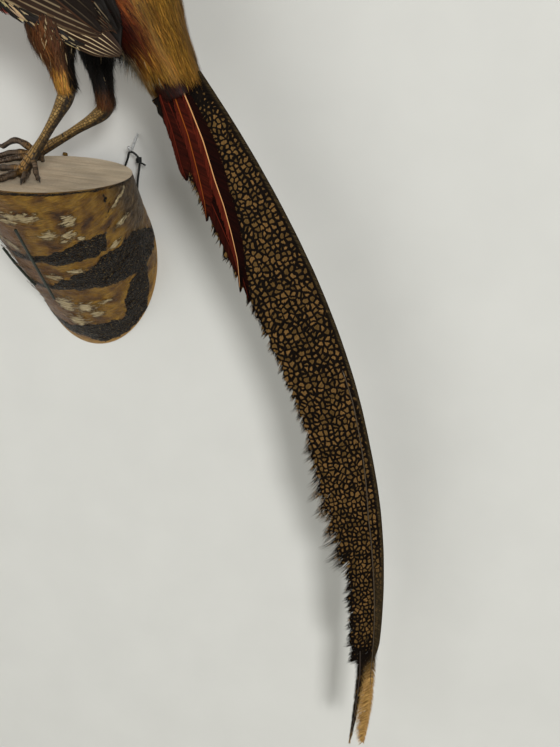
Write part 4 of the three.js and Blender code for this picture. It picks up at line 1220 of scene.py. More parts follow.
def make_wing(name, hues):
    """A folded wing: underlay, primaries, secondaries, tertials, rows of coverts and red scapulars."""
    side = SIDES[name]
    rng = np.random.default_rng(21 if side < 0 else 22)
    surface = WING_SURFACES[name]
    mesher = Mesher()
    p, q = pairs(np.linspace(0.06, 0.97, 60), np.linspace(0.0, 1.0, 20))
    front, back = [surface.points(p, q * 0.91 + 0.07, lift) for lift in (-0.5 * MM, -2.2 * MM)]
    dull = opaque(hues.black)
    mesher.add(np.concatenate([front, back[:, ::-1]], axis=1), wrap=True, caps=True, along=0.5, across=0.5,
               seed=0.0, quill=0.0, tint=dull, web=dull, bake=(0.001, 0.001))
    brown = np.array(linear("#2A1B11"))
    # primaries: long and narrow, their cream edges and shafts stacked along the lower edge
    ends = [(0.985, 0.34), (0.985, 0.26), (0.975, 0.19), (0.96, 0.14), (0.93, 0.09), (0.88, 0.05)]
    courses = [[(0.25, 0.27 - 0.03 * i), (0.56, 0.245 - 0.035 * i), end] for i, end in enumerate(ends)]
    tints = [hues.cream * light for light in (0.9, 0.3, 0.85, 0.25, 0.8, 0.3)]
    widths = [(11.5 - 0.5 * i) * MM for i in range(6)]
    blades(mesher, surface, tints[::-1], [brown] * 6, courses[::-1], widths[::-1], 1.0, seed=0.3)
    # secondaries: dark, their outer edges mottled with rufous and buff
    courses = [[(0.15, 0.56 - 0.045 * i), (0.5, 0.53 - 0.05 * i), (0.95 - 0.015 * i, 0.60 - 0.05 * i)]
               for i in range(8)]
    tints = [toward(hues.chestnut * 0.8, hues.cream * 0.6, (i / 7) ** 2) for i in range(8)]
    webs = [toward(hues.black, brown, i / 7) for i in range(8)]
    widths = [(19 - 0.4 * i) * MM for i in range(8)]
    blades(mesher, surface, tints[::-1], webs[::-1], courses[::-1], widths[::-1], 0.3, lift=1.3 * MM,
           seed=5.1)
    # tertials: broad, deep blue towards the shoulder, under the scapulars
    courses = [[(0.16, 0.80 - 0.05 * i), (0.5, 0.80 - 0.07 * i), (0.79 + 0.0175 * i, 0.84 - 0.13 * i)]
               for i in range(5)]
    webs = [toward(hues.blue, hues.black, 0.35 + 0.12 * i) for i in range(5)]
    widths = [(27 - 1.5 * i) * MM for i in range(5)]
    blades(mesher, surface, [hues.chestnut * 0.35] * 5, webs, courses, widths, 0.08, lift=2.6 * MM, seed=9.7,
           fade=1.0)

    def rows(p, q, length, width, hue, **more):
        tint = varied(rng, len(p), hue, 0.16, 0.06)
        lay(mesher, surface, p, q, length, width, leaf_outline, rows=7, columns=7, tint=tint,
            web=opaque(tint)[:, None, None], quill=0.0, **more)

    # mottled cream and black feathers along the lower edge
    for hue, count, drop in (
            (hues.black * 1.5, 90, 0.0), (hues.cream * 0.7, 70, 0.01), (hues.black * 2, 80, 0.03)):
        rows(np.sort(rng.uniform(0.08, 0.74, count))[::-1], 0.03 + drop + rng.uniform(0.0, 0.05, count),
             rng.uniform(8, 14, count) * MM, rng.uniform(1.6, 3.0, count) * MM, hue,
             turn=-0.15 + rng.normal(0, 0.12, count), lift=(1.5 + rng.uniform(0, 0.6, count)) * MM,
             rise=1.0 * MM, seed=rng.random(count) * 9)
    # coverts: chestnut, in rows from the wing's bend
    count = 16
    for row, (start_p, low, high, length, width) in enumerate([
            (0.30, 0.06, 0.62, 34, 12), (0.20, 0.05, 0.72, 27, 11), (0.12, 0.06, 0.80, 22, 10.5),
            (0.06, 0.05, 0.90, 18, 10), (0.01, 0.03, 0.94, 15, 9)]):
        p = start_p + 0.05 * np.sin(PI * np.linspace(0, 1, count)) + rng.normal(0, 0.004, count)
        rows(p, np.linspace(low, high, count), length * MM * rng.uniform(0.93, 1.07, count), width * MM,
             hues.chestnut, turn=-0.1 + rng.normal(0, 0.05, count), lift=(1.6 + 0.25 * row) * MM,
             rise=1.6 * MM, camber=0.5 * MM, seed=rng.random(count) * 9 + 20)
    # scapulars: dark red, loose, over the wing's upper edge
    count = SCAPULARS
    rows(rng.uniform(0.04, 0.62, count), rng.uniform(0.86, 1.0, count), rng.uniform(22, 34, count) * MM,
         rng.uniform(3.5, 6.5, count) * MM, hues.crimson, turn=0.05 + rng.normal(0, 0.1, count),
         lift=2.9 * MM + rng.uniform(0, 0.6, count) * MM, rise=0.5 * MM, seed=rng.random(count) * 9 + 40)
    piece = mesher.make(f"wing_feathers_{name}", flight_material(f"flight_feather_{name}"))
    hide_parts(f"wing_{name}")


# ---- thighs ----

def make_thigh(name, hues):
    """Loose hair-like thigh feathers that end in ragged wisps at the hock."""
    rng = np.random.default_rng(31 if name == "left" else 32)
    surface = THIGH_SURFACES[name]
    mesher = Mesher()
    count = THIGH_STRANDS
    u, v = roots(rng, surface, count, (0.0, 0.93), (0.02, 2 * PI - 0.02))
    per_u, _ = surface.stretch(u, v)
    place = surface.points(u, v, 0.0)
    length = rng.uniform(9, 19, count) * MM
    length = np.maximum(np.minimum(length, (1.05 - u) * per_u + rng.normal(0, 2.2, count) * MM), 4 * MM)
    tint = leg_tint(name, u, v, hues) * (1 + 0.6 * ripple(place, 3 * MM, 2.0))[:, None]
    tint = varied(rng, count, tint, 0.3, 0.07)
    pale = (rng.random(count) < (0.035 if name == "left" else 0.01)) & (u < 0.6)
    tint[pale] = hues.cream * 0.7
    # locks that have come loose stand away from the leg
    loose = rng.random(count) < 0.06 + 0.14 * blend(0.2, 0.9, np.cos(v))
    rise = np.where(loose, rng.uniform(2.5, 5.5, count), rng.uniform(0.3, 2.2, count)) * MM
    lay(mesher, surface, u, v, length, rng.uniform(0.5, 1.4, count) * MM, hair_outline, columns=2,
        turn=0.25 * ripple(place, 7 * MM, 5.0) + rng.normal(0, 0.12, count), bend=rng.normal(0, 0.14, count),
        lift=rng.uniform(-2.2, -0.4, count) * MM, rise=rise, camber=0, seed=rng.random(count), tint=tint)
    piece = mesher.make(f"coat_thigh_{name}", plumage_material(f"thigh_feather_{name}", 0.6, contrast=0.35))


# ---- tail ----

# Places down the ridge and drops below it there, of the vane's lower edge, its shaft and the dark strand
VANE_DROPS = np.array([(-8, 38), (120, 49), (160, 49), (212, 48), (267, 47), (316, 44), (360, 42), (395, 37),
                       (439, 30), (479, 29), (545, 25), (574, 23), (590, 19)]) * MM
SHAFT_DROPS = np.array([(0, 3), (289, 4), (407, 11), (460, 10), (537, 7), (596, 5), (633, 2), (668, 0),
                        (701, -1)]) * MM
DARK_STRAND = np.array([(570, 18), (600, 15.5), (634, 14.5), (668, 13.5), (706, 12.5)]) * MM
BARB_SLOPE = 0.9  # how far down the tail a barb runs for each metre away from the shaft


def drop_at(table, s):
    return np.interp(s, table[:, 0], table[:, 1])


# A spot's size along and across the tail at places down the ridge, and the spots counted from its root
SPOT_TABLE = np.array([(0, 3.6, 3.6), (120, 4.6, 4.4), (250, 5.3, 4.6), (400, 5.4, 3.9), (560, 5.6, 3.6),
                       (706, 5.6, 3.6)]) * MM
SPOT_STEPS = np.arange(-0.02, 0.73, 0.002)
SPOT_COUNT = np.cumsum(0.002 / np.interp(SPOT_STEPS, SPOT_TABLE[:, 0], SPOT_TABLE[:, 1]))


def spot_cells(s, drop, seed):
    """Pattern coordinates counted in spots along and across the tail."""
    across = drop / np.interp(s, SPOT_TABLE[:, 0], SPOT_TABLE[:, 2])
    along = np.interp(s, SPOT_STEPS, SPOT_COUNT) + 50 * seed
    return np.stack(np.broadcast_arrays(along, across, 0.0), axis=-1)


def tail_values(s, drop, seed, buff=0.0):
    """Everything the tail's material reads at a place of the vane."""
    shaft = drop_at(SHAFT_DROPS, s)
    barb = (s - np.abs(drop - shaft) * BARB_SLOPE) / (0.9 * MM)
    edge = drop + ridge_rise(s)
    line = np.exp(-((edge - 3.4 * MM) / (0.8 * MM)) ** 2) * 0.6 * blend(0.50, 0.40, s)
    lower = blend(0.0, 3.0 * MM, drop - drop_at(VANE_DROPS, s) + 1.5 * MM) * blend(0.40, 0.50, s) * 0.3
    start_dark = 0.5 * blend(0.03, 0.0, s)
    fading = blend(0.545, 0.60, s) * 0.8
    beside = 0.8 * blend(0.44, 0.5, s) * blend(1 * MM, -1 * MM, drop - shaft)
    plain = np.maximum(blend(3.0 * MM, 1.6 * MM, edge), beside)
    return {
        "cell": spot_cells(s, drop, seed),
        "barb": np.stack(np.broadcast_arrays(barb, drop / (9 * MM), seed * 3.0), axis=-1),
        "dark": np.clip(line + lower + fading + start_dark, 0, 1)[..., None],
        "plain": plain[..., None],
        "buff": np.broadcast_to(np.asarray(buff, float), np.shape(s))[..., None],
        "bake": np.stack([0.01 + 0.98 * np.clip((s + 0.03) / 0.75, 0, 1),
                          0.02 + 0.96 * np.clip((drop + 0.01) / 0.08, 0, 1)], axis=-1),
    }


def barb_strips(mesher, surface, s, drop, length, slope, width, out, seed, buff=0.0, curl=0.0, side=1.0):
    """Single barbs that leave a vane's edge: slope is metres down the tail for each metre outward."""
    share = np.linspace(0, 1, 6)[None, :, None]
    across = np.array([-1.0, 1.0])[None, None, :]
    s, drop, length, slope, width, curl, buff, out = [
        np.broadcast_to(np.asarray(value, float), s.shape)[:, None, None]
        for value in (s, drop, length, slope, width, curl, buff, out)]
    slant = np.sqrt(1 + slope ** 2)
    run = length / slant
    thin = width / 2 * (1 - 0.85 * share ** 1.5)
    at_drop = drop + side * run * share * (1 - curl * share) + across * thin * slope / slant
    at_s = s + run * slope * share * (1 + 0.5 * curl * share) - side * across * thin / slant
    mesher.add(surface.points(at_s, at_drop, out), **tail_values(at_s, at_drop, seed, buff))


def barb_clumps(mesher, rng, surface, seed, out):
    """The ragged lower edge: barbs that have come apart and cling together in pointed clumps."""
    centres = np.sort(np.concatenate([
        rng.uniform(0.04, 0.28, 90), rng.uniform(0.28, 0.47, 120), rng.uniform(0.47, 0.585, 70)]))
    wild = np.interp(centres, [0.05, 0.26, 0.33, 0.38, 0.44, 0.47, 0.59],
                     [0.12, 0.2, 0.6, 1.2, 1.1, 0.4, 0.3])
    for centre, reach in zip(centres, wild):
        count = rng.integers(9, 19)
        offset = np.linspace(-1, 1, count) * (count * 0.26 * MM)
        s = centre + offset
        long = (4 + 24 * reach * rng.uniform(0.35, 1.0)) * MM
        length = long * rng.uniform(0.7, 1.05, count)
        slope = rng.uniform(0.85, 1.3) - offset / long * rng.uniform(0.3, 1.0)
        barb_strips(mesher, surface, s, drop_at(VANE_DROPS, s) - 3.0 * MM, length + 3 * MM, slope,
                    rng.uniform(0.4, 0.8, count) * MM, out + rng.uniform(0, 0.6, count) * MM, seed,
                    curl=rng.normal(0, 0.10) + rng.normal(0, 0.05, count))


def make_tail(name):
    """Half of the tail's roof: one broad netted vane, its ragged lower edge and two tip strands."""
    side = SIDES[name]
    rng = np.random.default_rng(41 if side < 0 else 42)
    seed = 0.0 if side < 0 else 1.0
    mesher = Mesher()
    surface = tail_surface(side, 1.0 * MM)
    # the vane, front and back faces; it ends in two points, one for each strand
    rows, columns = 320, 34
    share = np.linspace(0, 1, columns)[None, :]
    end = np.interp(share, [0, 0.2, 0.45, 0.66, 0.82, 1], [560, 588, 548, 560, 580, 545]) * MM
    end = end + 5 * MM * rippled(share * 9, 0.0, 1.0, seed)
    s = -8 * MM + (end + 8 * MM) * np.linspace(0, 1, rows)[:, None]
    jag = 1.2 * MM * rippled(s, 0.0, 5 * MM, seed)
    rise = ridge_rise(s)
    drop = (drop_at(VANE_DROPS, s) + jag + rise) * share - rise
    wave = 0.5 * MM * rippled(s, drop * 2, 22 * MM, 3 + seed)
    front, back = (surface.points(s, drop, lift + wave) for lift in (0.45 * MM, -0.15 * MM))
    add_sheet(mesher, front, back, tail_values(s, drop, seed))
    barb_clumps(mesher, rng, surface, seed, 0.1 * MM)
    # stray barbs over the vane, which break its flat look
    count = STRAY_BARBS
    s = rng.uniform(0.02, 0.57, count)
    drop = drop_at(VANE_DROPS, s) * rng.uniform(0.15, 0.9, count)
    barb_strips(mesher, surface, s, drop, rng.uniform(5, 11, count) * MM, rng.uniform(0.8, 1.1, count),
                rng.uniform(0.4, 0.8, count) * MM, rng.uniform(0.6, 0.9, count) * MM, seed)
    # the two strands of the tip: s range, shaft, count, lower share, reach below and above it, golden
    for low, high, table, count, lower, below, above, golden in (
            (0.556, 0.702, DARK_STRAND, 1100, 0.5, [9, 6.5, 5.4, 4.0, 2.4], [14, 11, 7.0, 5.0, 2.5], False),
            (0.550, 0.700, SHAFT_DROPS, 1050, 0.62, [20, 22, 22, 17, 6.0], [9, 9, 8.0, 6.0, 3.5], True)):
        s = np.sort(rng.uniform(low, high, count))
        outward = np.where(rng.random(count) < lower, 1.0, -1.0)
        for way in (-1.0, 1.0):
            part = s[outward == way]
            size = len(part)
            reach = np.interp(part, [0.575, 0.61, 0.64, 0.672, 0.70], below if way > 0 else above) * MM
            reach = reach * rng.uniform(0.55, 1.15, size)
            near_tip = part + 2.5 * MM * rng.normal(0, 1, size)
            buff = blend(0.572, 0.615, near_tip) if golden else blend(0.675, 0.70, near_tip) * 0.6
            barb_strips(mesher, surface, part, drop_at(table, part), reach, rng.uniform(1.25, 2.1, size),
                        rng.uniform(0.35, 0.7, size) * MM, rng.uniform(0.1, 0.6, size) * MM, seed, buff=buff,
                        side=way, curl=rng.normal(0, 0.06, size))
    piece = mesher.make(f"tail_vane_{name}", tail_material(f"netted_tail_feather_{name}"))
    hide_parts(f"tail_{name}")


def make_tail_quills():
    """The shafts that show along the ridge and down to both tips."""
    mesher = Mesher()
    steps = 60
    for side in SIDES.values():
        surface = tail_surface(side, 1.0 * MM)
        for s, table, thick, code in ((np.linspace(0.26, 0.700, 40), SHAFT_DROPS, 0.55, "#3A2D1C"),
                                      (np.linspace(0.57, 0.704, 24), DARK_STRAND, 0.45, "#2A1D12")):
            line = surface.points(s, drop_at(table, s), 0.75 * MM)
            rings, _, _ = tube_rings(line, np.array([thick, thick, 0.16]) * MM, 6, steps)
            golden = 1.0 if table is SHAFT_DROPS else 0.0
            tip = golden * blend(0.6, 0.64, np.linspace(s[0], s[-1], steps + 1))
            tint = toward(np.array(linear(code)), np.array(linear("#A87B38")), tip)
            mesher.add(rings, wrap=True, caps=True, tint=opaque(tint)[:, None])
    piece = mesher.make("tail_quills", quill_material("feather_shaft"))


# Side feathers: start and end down the ridge, drop there as a share of the tail's width, own width
SIDE_FEATHERS = [(-6, 430, 0.62, 0.99, 20), (-6, 345, 0.55, 1.0, 19), (-4, 262, 0.50, 1.0, 18),
                 (-2, 190, 0.46, 0.98, 17)]


def make_side_tail(name):
    """The shorter side feathers, barred buff on black, tucked under the roof."""
    side = SIDES[name]
    rng = np.random.default_rng(45 if side < 0 else 46)
    mesher = Mesher()
    share = np.linspace(0, 1, 90)[:, None]
    across = np.linspace(-1, 1, 11)[None, :]
    for i, (start_s, end_s, first, last, width) in enumerate(SIDE_FEATHERS):
        surface = tail_surface(side, (-3.9 + 0.5 * i) * MM)
        seed = 3.0 + i + side
        s = (start_s + (end_s - start_s) * share) * MM
        middle = tail_width(s) * (first + (last - first) * share ** 0.7) - width * MM * 0.4
        drop = middle + across * width / 2 * MM * blade_outline(share)
        s = s - 3 * MM * across ** 2
        values = tail_values(s, drop, seed)
        values["cell"] = spot_cells(s * 0.55 - np.abs(across) * 4 * MM, drop * 1.25, seed)
        values["dark"] = np.full((*drop.shape, 1), 0.10)
        front = surface.points(s, drop, 0.3 * MM * (1 - across ** 2))
        back = front + surface.look_up(surface.normal, s, drop) * -0.45 * MM
        add_sheet(mesher, front, back, values)
        count = SIDE_BARBS
        along = rng.uniform(0.3, 0.98, count)
        at_s = (start_s + (end_s - start_s) * along) * MM
        at_drop = np.interp(along, share[:, 0], drop[:, -1]) - 1.5 * MM
        barb_strips(mesher, surface, at_s, at_drop, rng.uniform(3, 8, count) * MM,
                    rng.uniform(1.1, 1.8, count), rng.uniform(0.5, 0.9, count) * MM, 0.1 * MM, seed)
    piece = mesher.make(f"tail_side_feathers_{name}", tail_material(f"barred_side_feather_{name}"))
    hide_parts(f"tail_side_{name}")


# Each covert: its shaft's course (down the ridge, drop) in millimetres, its width, colours and web shades.
COVERTS = [
    ([(-8, 27), (30, 33), (70, 38), (110, 42), (150, 46), (172, 50)], 12.0, "crimson", "crimson", 0.12, 0.28),
    ([(-8, 30.5), (19, 36.5), (45, 44), (58, 46.5)], 10.5, "crimson", "crimson", 0.3, 0.5),
    ([(-8, 20.5), (11, 24.5), (28, 28), (51, 34.5), (70, 40), (81, 43.5), (94, 49)], 12.0, "crimson", "amber",
     0.5, 0.9),
    ([(-6, 14), (9, 16), (37, 20.5), (69, 28), (89, 31.5), (113, 37), (134, 42.5), (160, 52.5)], 12.0,
     "crimson", "straw", 0.1, 0.95),
]


def make_coverts(name, hues):
    """Long narrow red tail coverts with pale shafts and split tips."""
    side = SIDES[name]
    rng = np.random.default_rng(47 if side < 0 else 48)
    mesher = Mesher()
    share = np.linspace(0, 1, 6)[None, :, None]
    across = np.array([-1.0, 1.0])[None, None, :]
    for i, (course, width, web, quill, upper, lower) in enumerate(COVERTS):
        surface = tail_surface(side, TAIL_THICK + (0.6 + i * 0.7) * MM)
        course = np.array(course) * MM
        long = course[-1, 0] - course[0, 0]
        count = int(520 + 4000 * long)
        along = np.sort(np.concatenate([np.linspace(0, 0.985, count - LOOSE_COVERT_BARBS),
                                        rng.uniform(0.45, 0.99, LOOSE_COVERT_BARBS)]))
        s = course[0, 0] + long * along
        drop = drop_at(course, s)
        wide = blade_outline(along) * np.interp(along, [0, 0.3, 0.75, 1], [0.75, 1.0, 0.8, 0.3])
        for way, shade in ((-1.0, upper), (1.0, lower)):
            reach = width / 2 * MM * wide * rng.uniform(0.75, 1.2, count) * 2.1
            slope = 1.9 + rng.normal(0, 0.15, count)
            run = (reach / np.sqrt(1 + slope ** 2))[:, None, None]
            thin = 0.45 * MM * (1 - 0.7 * share ** 2)
            at_drop = drop[:, None, None] + way * run * share ** 0.9 + across * thin * 0.8
            at_s = s[:, None, None] + run * slope[:, None, None] * share - way * across * thin
            points = surface.points(at_s, at_drop, (rng.uniform(0, 0.35, count) * MM)[:, None, None])
            dim = shade * (1 - 0.8 * blend(0.82, 0.97, along + rng.normal(0, 0.04, count)))
            streak = 1 + 0.5 * rippled(s, drop, 3 * MM, way + 3 * i)
            tint = varied(rng, count, getattr(hues, web), 0.25, 0.06) * (dim * streak)[:, None]
            bake = np.stack([0.02 + 0.23 * i + 0.21 * np.clip(at_s / 0.24, 0, 1),
                             0.1 + 0.8 * np.clip(at_drop / 0.07, 0, 1)], axis=-1)
            mesher.add(points, along=share[..., None], across=(across * 0.9)[..., None],
                       seed=rng.random(count)[:, None, None, None], tint=opaque(tint)[:, None, None],
                       bake=bake)
        s = np.linspace(course[0, 0], course[-1, 0] - 0.03 * long, 30)
        line = surface.points(s, drop_at(course, s), 0.6 * MM)
        rings, _, _ = tube_rings(line, np.array([0.5, 0.45, 0.35, 0.15]) * MM, 6, 40)
        mesher.add(rings, wrap=True, caps=True, along=0.8, across=0.3, seed=0.5,
                   tint=opaque(getattr(hues, quill)), bake=(0.95, 0.02))
    material = plumage_material(f"red_covert_{name}", 0.6, contrast=0.3, root=0.9, shaft=0.0, gloss=0.02)
    piece = mesher.make(f"red_coverts_{name}", material)
    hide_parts(*[f"tail_covert_{name}_{i}" for i in (1, 2, 3)])


# ---- legs ----

def leg_limbs(name):
    """The shank's and toes' courses and radii."""
    leg = LEGS[name]
    hock, ball = np.array(leg["hock"], float), np.array(leg["ball"], float)
    bow = (hock + ball) / 2 + (1.5, 0, -1.5)
    above = hock + (np.array(leg["knee"], float) - hock) * 0.12
    shank = np.array([6.0, 6.5, 4.8, 3.8, 3.75, 4.5, 5.2]) * MM
    limbs = [(np.array([above, hock, bow, ball]) * MM, shank)]
    for start_point, middle, end, radius in leg["toes"].values():
        inside = np.array(start_point) + (ball - np.array(start_point)) * 0.6
        course = np.array([inside, start_point, middle, end]) * MM
        limbs.append((course, radius * MM * np.array([0.95, 1.0, 1.04, 0.9, 0.84, 0.7])))
    return limbs


def make_leg(name):
    """A dried leg and foot in one skin, with plates, seams and toe pads."""
    mesher = Mesher()
    tables = []
    for i, (course, radii) in enumerate(leg_limbs(name)):
        sides, steps = (40, 110) if i == 0 else (28, 60)
        rings, centre, length = tube_rings(course, radii, sides, steps, 0.88 if i == 0 else 1.0)
        if i:
            knuckle = 1 + 0.10 * np.cos(np.linspace(0, 6 * PI, steps + 1) + 0.6)
            rings = centre[:, None] + (rings - centre[:, None]) * knuckle[:, None, None]
        mesher.add(rings, wrap=True, caps=True)
        tables.append((rings, centre, length, radii))
    pad = Vector(LEGS[name]["ball"]) * MM - Vector((0, 0, 1.2 * MM))
    mesher.add(ball_grid(16, 24) * (1, 1, 0.9) * 5.9 * MM + np.array(pad), wrap=True, caps=True)
    material = scale_material(f"scaled_leg_{name}", "#A0814A", "#705428", "#20160C")
    piece = mesher.make(f"leg_skin_{name}", material)
    points, normals = remeshed(piece, LEG_VOXEL, 3)
    plate, best = np.zeros((len(points), 3)), np.full(len(points), 9.0)
    rear_shade, foot, toe, lift = np.zeros((4, len(points)))
    for i, (rings, centre, length, radii) in enumerate(tables):
        steps = len(centre) - 1
        distance = np.linalg.norm(points[:, None] - centre[None], axis=-1)
        nearest = distance.argmin(axis=1)
        gap = distance[np.arange(len(points)), nearest]
        radius = through(radii, nearest / steps, even=True)[:, 0]
        owned = gap / radius < best
        best = np.where(owned, gap / radius, best)
        side = unit(rings[nearest, 0] - centre[nearest])
        ahead = unit(np.gradient(centre, axis=0))[nearest]
        other = np.cross(ahead, side)
        out = points - centre[nearest]
        angle = np.arctan2((out * other).sum(-1), (out * side).sum(-1))
        way = nearest / steps * length + (out * ahead).sum(-1)
        front = np.cos(angle - (PI if i == 0 else 0.0))
        near_foot = blend(0.62, 0.80, way / length) if i == 0 else 1.0
        tall = (2.6 + 2.2 * near_foot) * MM if i == 0 else 1.9 * MM
        wide = 2.4 * MM if i == 0 else 6 * MM
        cell = np.stack([angle * radius / wide + 7 * i, way / tall, 0 * way], axis=-1)
        ridge = np.abs(np.sin(PI * way / tall)) ** 0.5 * blend(0.1, 0.6, front)
        # painted shade: the back of the shank and the underside of each toe are darker; the toes also take an
        # even share of the dark tone
        shade = blend(0.1, -0.7, front)
        plate[owned] = cell[owned]
        rear_shade[owned] = (shade * 0.6 if i == 0 else shade * 0.4 + 0.3)[owned]
        if i == 0:
            foot[owned] = (blend(0.72, 0.95, way / length) * 0.75)[owned]
        toe[owned] = (blend(0.15, 0.45, way / length) if i else 0 * way)[owned]
        lift[owned] = (ridge * (0.28 if i == 0 else 0.22) * MM)[owned]
    mesh = piece.data
    mesh.vertices.foreach_set("co", (points + normals * lift[:, None]).ravel())
    put_attribute(mesh, "plate", plate)
    for key, table in (("rear_shade", np.clip(rear_shade, 0, 1)), ("foot", foot), ("toe", toe)):
        put_attribute(mesh, key, table[:, None])
    mesh.update()
    toes = [f"toe_{name}_{toe}" for toe in LEGS[name]["toes"]]
    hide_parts(f"tarsus_{name}", *toes)


def make_claws(name):
    """Curved dark claws, a little flattened, one for each toe."""
    mesher = Mesher()
    steps = 20
    for _, middle, end, radius in LEGS[name]["toes"].values():
        before, tip = np.array(middle, float), np.array(end, float)
        ahead = unit(tip - before)
        level = unit(ahead * (1, 1, 0)) * CLAW_LENGTH / MM * radius / 3
        root = tip - ahead * 1.2
        point = root + level
        point[2] = max(log_top_at(*(tip + level)[:2] * MM) / MM + 0.5, root[2] - 2.4)
        course = np.array([root, root + level * 0.5 + (0, 0, 0.3), point]) * MM
        rings, _, _ = tube_rings(course, np.array([1.9, 1.7, 1.15, 0.15]) * MM * radius / 3, 14, steps, 0.8)
        mesher.add(rings, wrap=True, caps=True, along=np.linspace(0, 1, steps + 1)[:, None, None])
    piece = mesher.make(f"claws_{name}", horn_material(f"claw_horn_{name}", "#4A3A28", "#1B1410"))
    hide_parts(*[f"claw_{name}_{toe}" for toe in LEGS[name]["toes"]])


# ---- bill and eyes ----

def make_bill(upper):
    """Half of the bill: curved ridge, nostril flap on the upper half, sharp cutting edges."""
    length = (BILL_LENGTH if upper else BILL_LOWER) - 2 * MM
    depth = BILL_DEPTH * (0.9 if upper else 0.46)
    gap = 0.2 * MM if upper else -0.2 * MM
    share, angle = pairs(np.linspace(0, 1, 44), np.linspace(-PI, PI, 56, endpoint=False))
    slim = np.maximum(0.05, np.sqrt(1 - share ** 1.7))
    rise = np.maximum(0, np.cos(angle)) if upper else np.minimum(0, np.cos(angle))
    up = rise * depth * slim - BILL_HOOK * share ** 2 + gap
    across = np.sin(angle) * BILL_WIDTH * slim
    if upper:
        flap = np.exp(-((share - 0.42) / 0.09) ** 2 - ((np.abs(angle) - 0.95) / 0.28) ** 2)
        hole = np.exp(-((share - 0.47) / 0.035) ** 2 - ((np.abs(angle) - 1.18) / 0.12) ** 2)
        across = across * (1 + 0.16 * flap - 0.22 * hole)
    points = head_place(HEAD_LENGTH / 2 - 8 * MM + (length + 8 * MM) * share, up - 4.5 * MM, across)
    mesher = Mesher()
    mesher.add(points, wrap=True, caps=True, along=share[..., None])
    name = "bill_upper" if upper else "bill_lower"
    piece = mesher.make(f"horn_{name}", horn_material(f"{name}_horn", "#A88C50", "#7C6538", 0.38))
    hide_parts(name)


def make_eye(name):
    """A glass eye with iris and pupil, and the yellow lids that overlap its edge."""
    side = SIDES[name]
    tilt, turn = pairs(np.maximum(np.linspace(0.0, PI, 60), 0.01), turns(48))
    bulge = 1 + 0.04 * np.cos(tilt) ** 8
    ring = np.stack([np.sin(tilt) * np.cos(turn), np.sin(tilt) * np.sin(turn), np.cos(tilt) * bulge], axis=-1)
    centre = (EYE_FORWARD, EYE_UP, side * EYE_SIDE)
    points = head_place(centre[0] + ring[..., 0] * EYE_RADIUS, centre[1] + ring[..., 1] * EYE_RADIUS,
                        centre[2] + side * ring[..., 2] * EYE_RADIUS)
    mesher = Mesher()
    mesher.add(points, wrap=True, caps=True, along=(tilt / PI)[..., None])
    piece = mesher.make(f"glass_eye_{name}", eye_material(f"glass_eye_{name}"))
    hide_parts(f"eye_{name}")
    # lids: a low wrinkled ring from the eye's edge down into the face
    radius = np.array([3.7, 3.75, 4.1, 4.7, 5.5, 6.4]) * MM
    stand = np.array([12.0, 12.9, 13.25, 13.1, 12.5, 11.2]) * MM
    turn = turns(72)
    fold = 1 + 0.012 * np.sin(turn * 17) + 0.008 * np.sin(turn * 29 + 1)
    oval = np.stack([np.cos(turn) * 1.08, np.sin(turn) * 0.92], axis=-1)
    forward = centre[0] + radius[:, None] * oval[None, :, 0] * fold
    up = centre[1] + radius[:, None] * oval[None, :, 1] * fold
    slope = 0.12 * (forward - centre[0]) + 0.10 * np.abs(up - centre[1])
    lids = head_place(forward, up, side * (stand[:, None] * (0.985 + 0.015 * fold) - slope))
    mesher = Mesher()
    mesher.add(lids, wrap=True, tint=opaque(linear("#C79C3C")))
    piece = mesher.make(f"eyelids_{name}", skin_material(f"bare_eye_skin_{name}"))


# ---- log, hook and wires ----

LOG_AXIS = np.array([
    math.sin(LOG_TURN) * math.cos(LOG_RISE), -math.cos(LOG_TURN) * math.cos(LOG_RISE), math.sin(LOG_RISE)])
LOG_RIGHT = unit(np.cross([0, 0, 1], LOG_AXIS))
LOG_BACK = np.cross(LOG_AXIS, LOG_RIGHT)

# Dark lenticel bands: (degrees round, millimetres along) down each band's upper and lower edge
BANDS = [
    ([(-150, 112), (-120, 118), (-93, 127), (-78, 132), (-69, 135), (-59, 137), (-48, 134), (-42, 130)],
     [(-150, 96), (-120, 104), (-97, 113), (-87, 107), (-72, 107), (-57, 104), (-47, 106), (-42, 124)]),
    ([(-150, 60), (-120, 64), (-100, 70), (-90, 83), (-77, 89), (-62, 95), (-51, 103), (-36, 100), (-22, 99),
      (-5, 78), (10, 49), (30, 30)],
     [(-150, 46), (-120, 52), (-98, 60), (-83, 61), (-67, 56), (-49, 50), (-34, 41), (-22, 37), (-8, 32),
      (10, 26), (30, 18)]),
    ([(-160, -20), (-120, -23), (-112, -24), (-93, -14), (-73, -11), (-60, -13), (-54, -6), (-52, 16),
      (-38, 40), (-22, 38)],
     [(-160, -46), (-123, -51), (-101, -47), (-88, -57), (-71, -51), (-60, -46), (-49, -39), (-35, -25),
      (-25, -4), (-20, 24)]),
]
# Torn silvery skin: degrees round, millimetres along, half width in degrees and half height in millimetres
PEELS = [
    (-92, 184, 15, 7), (-104, 176, 9, 4), (-80, 156, 7, 7), (-72, 144, 3, 5), (-62, 168, 6, 9),
    (-66, 150, 5, 7), (-60, 140, 3, 4), (-24, 122, 9, 3.5), (-75, 94, 8, 3.5), (-100, 30, 9, 17),
    (-84, 24, 10, 10), (-98, -6, 9, 12), (-78, 9, 7, 7), (-66, 28, 7, 3), (-48, 3, 6, 3), (-18, 150, 12, 4),
    (-38, 105, 7, 4), (-94, 86, 7, 5), (-118, 130, 10, 6), (-50, 66, 9, 3), (-34, 72, 6, 3)]
# A dark crack from the rim to the top band
STREAK = [(-33, 182), (-32, 169), (-31, 154), (-35, 143), (-40, 129)]


def log_top_at(x, y):
    return LOG_TOP + LOG_TOP_SLOPE_X * x + LOG_TOP_SLOPE_Y * y


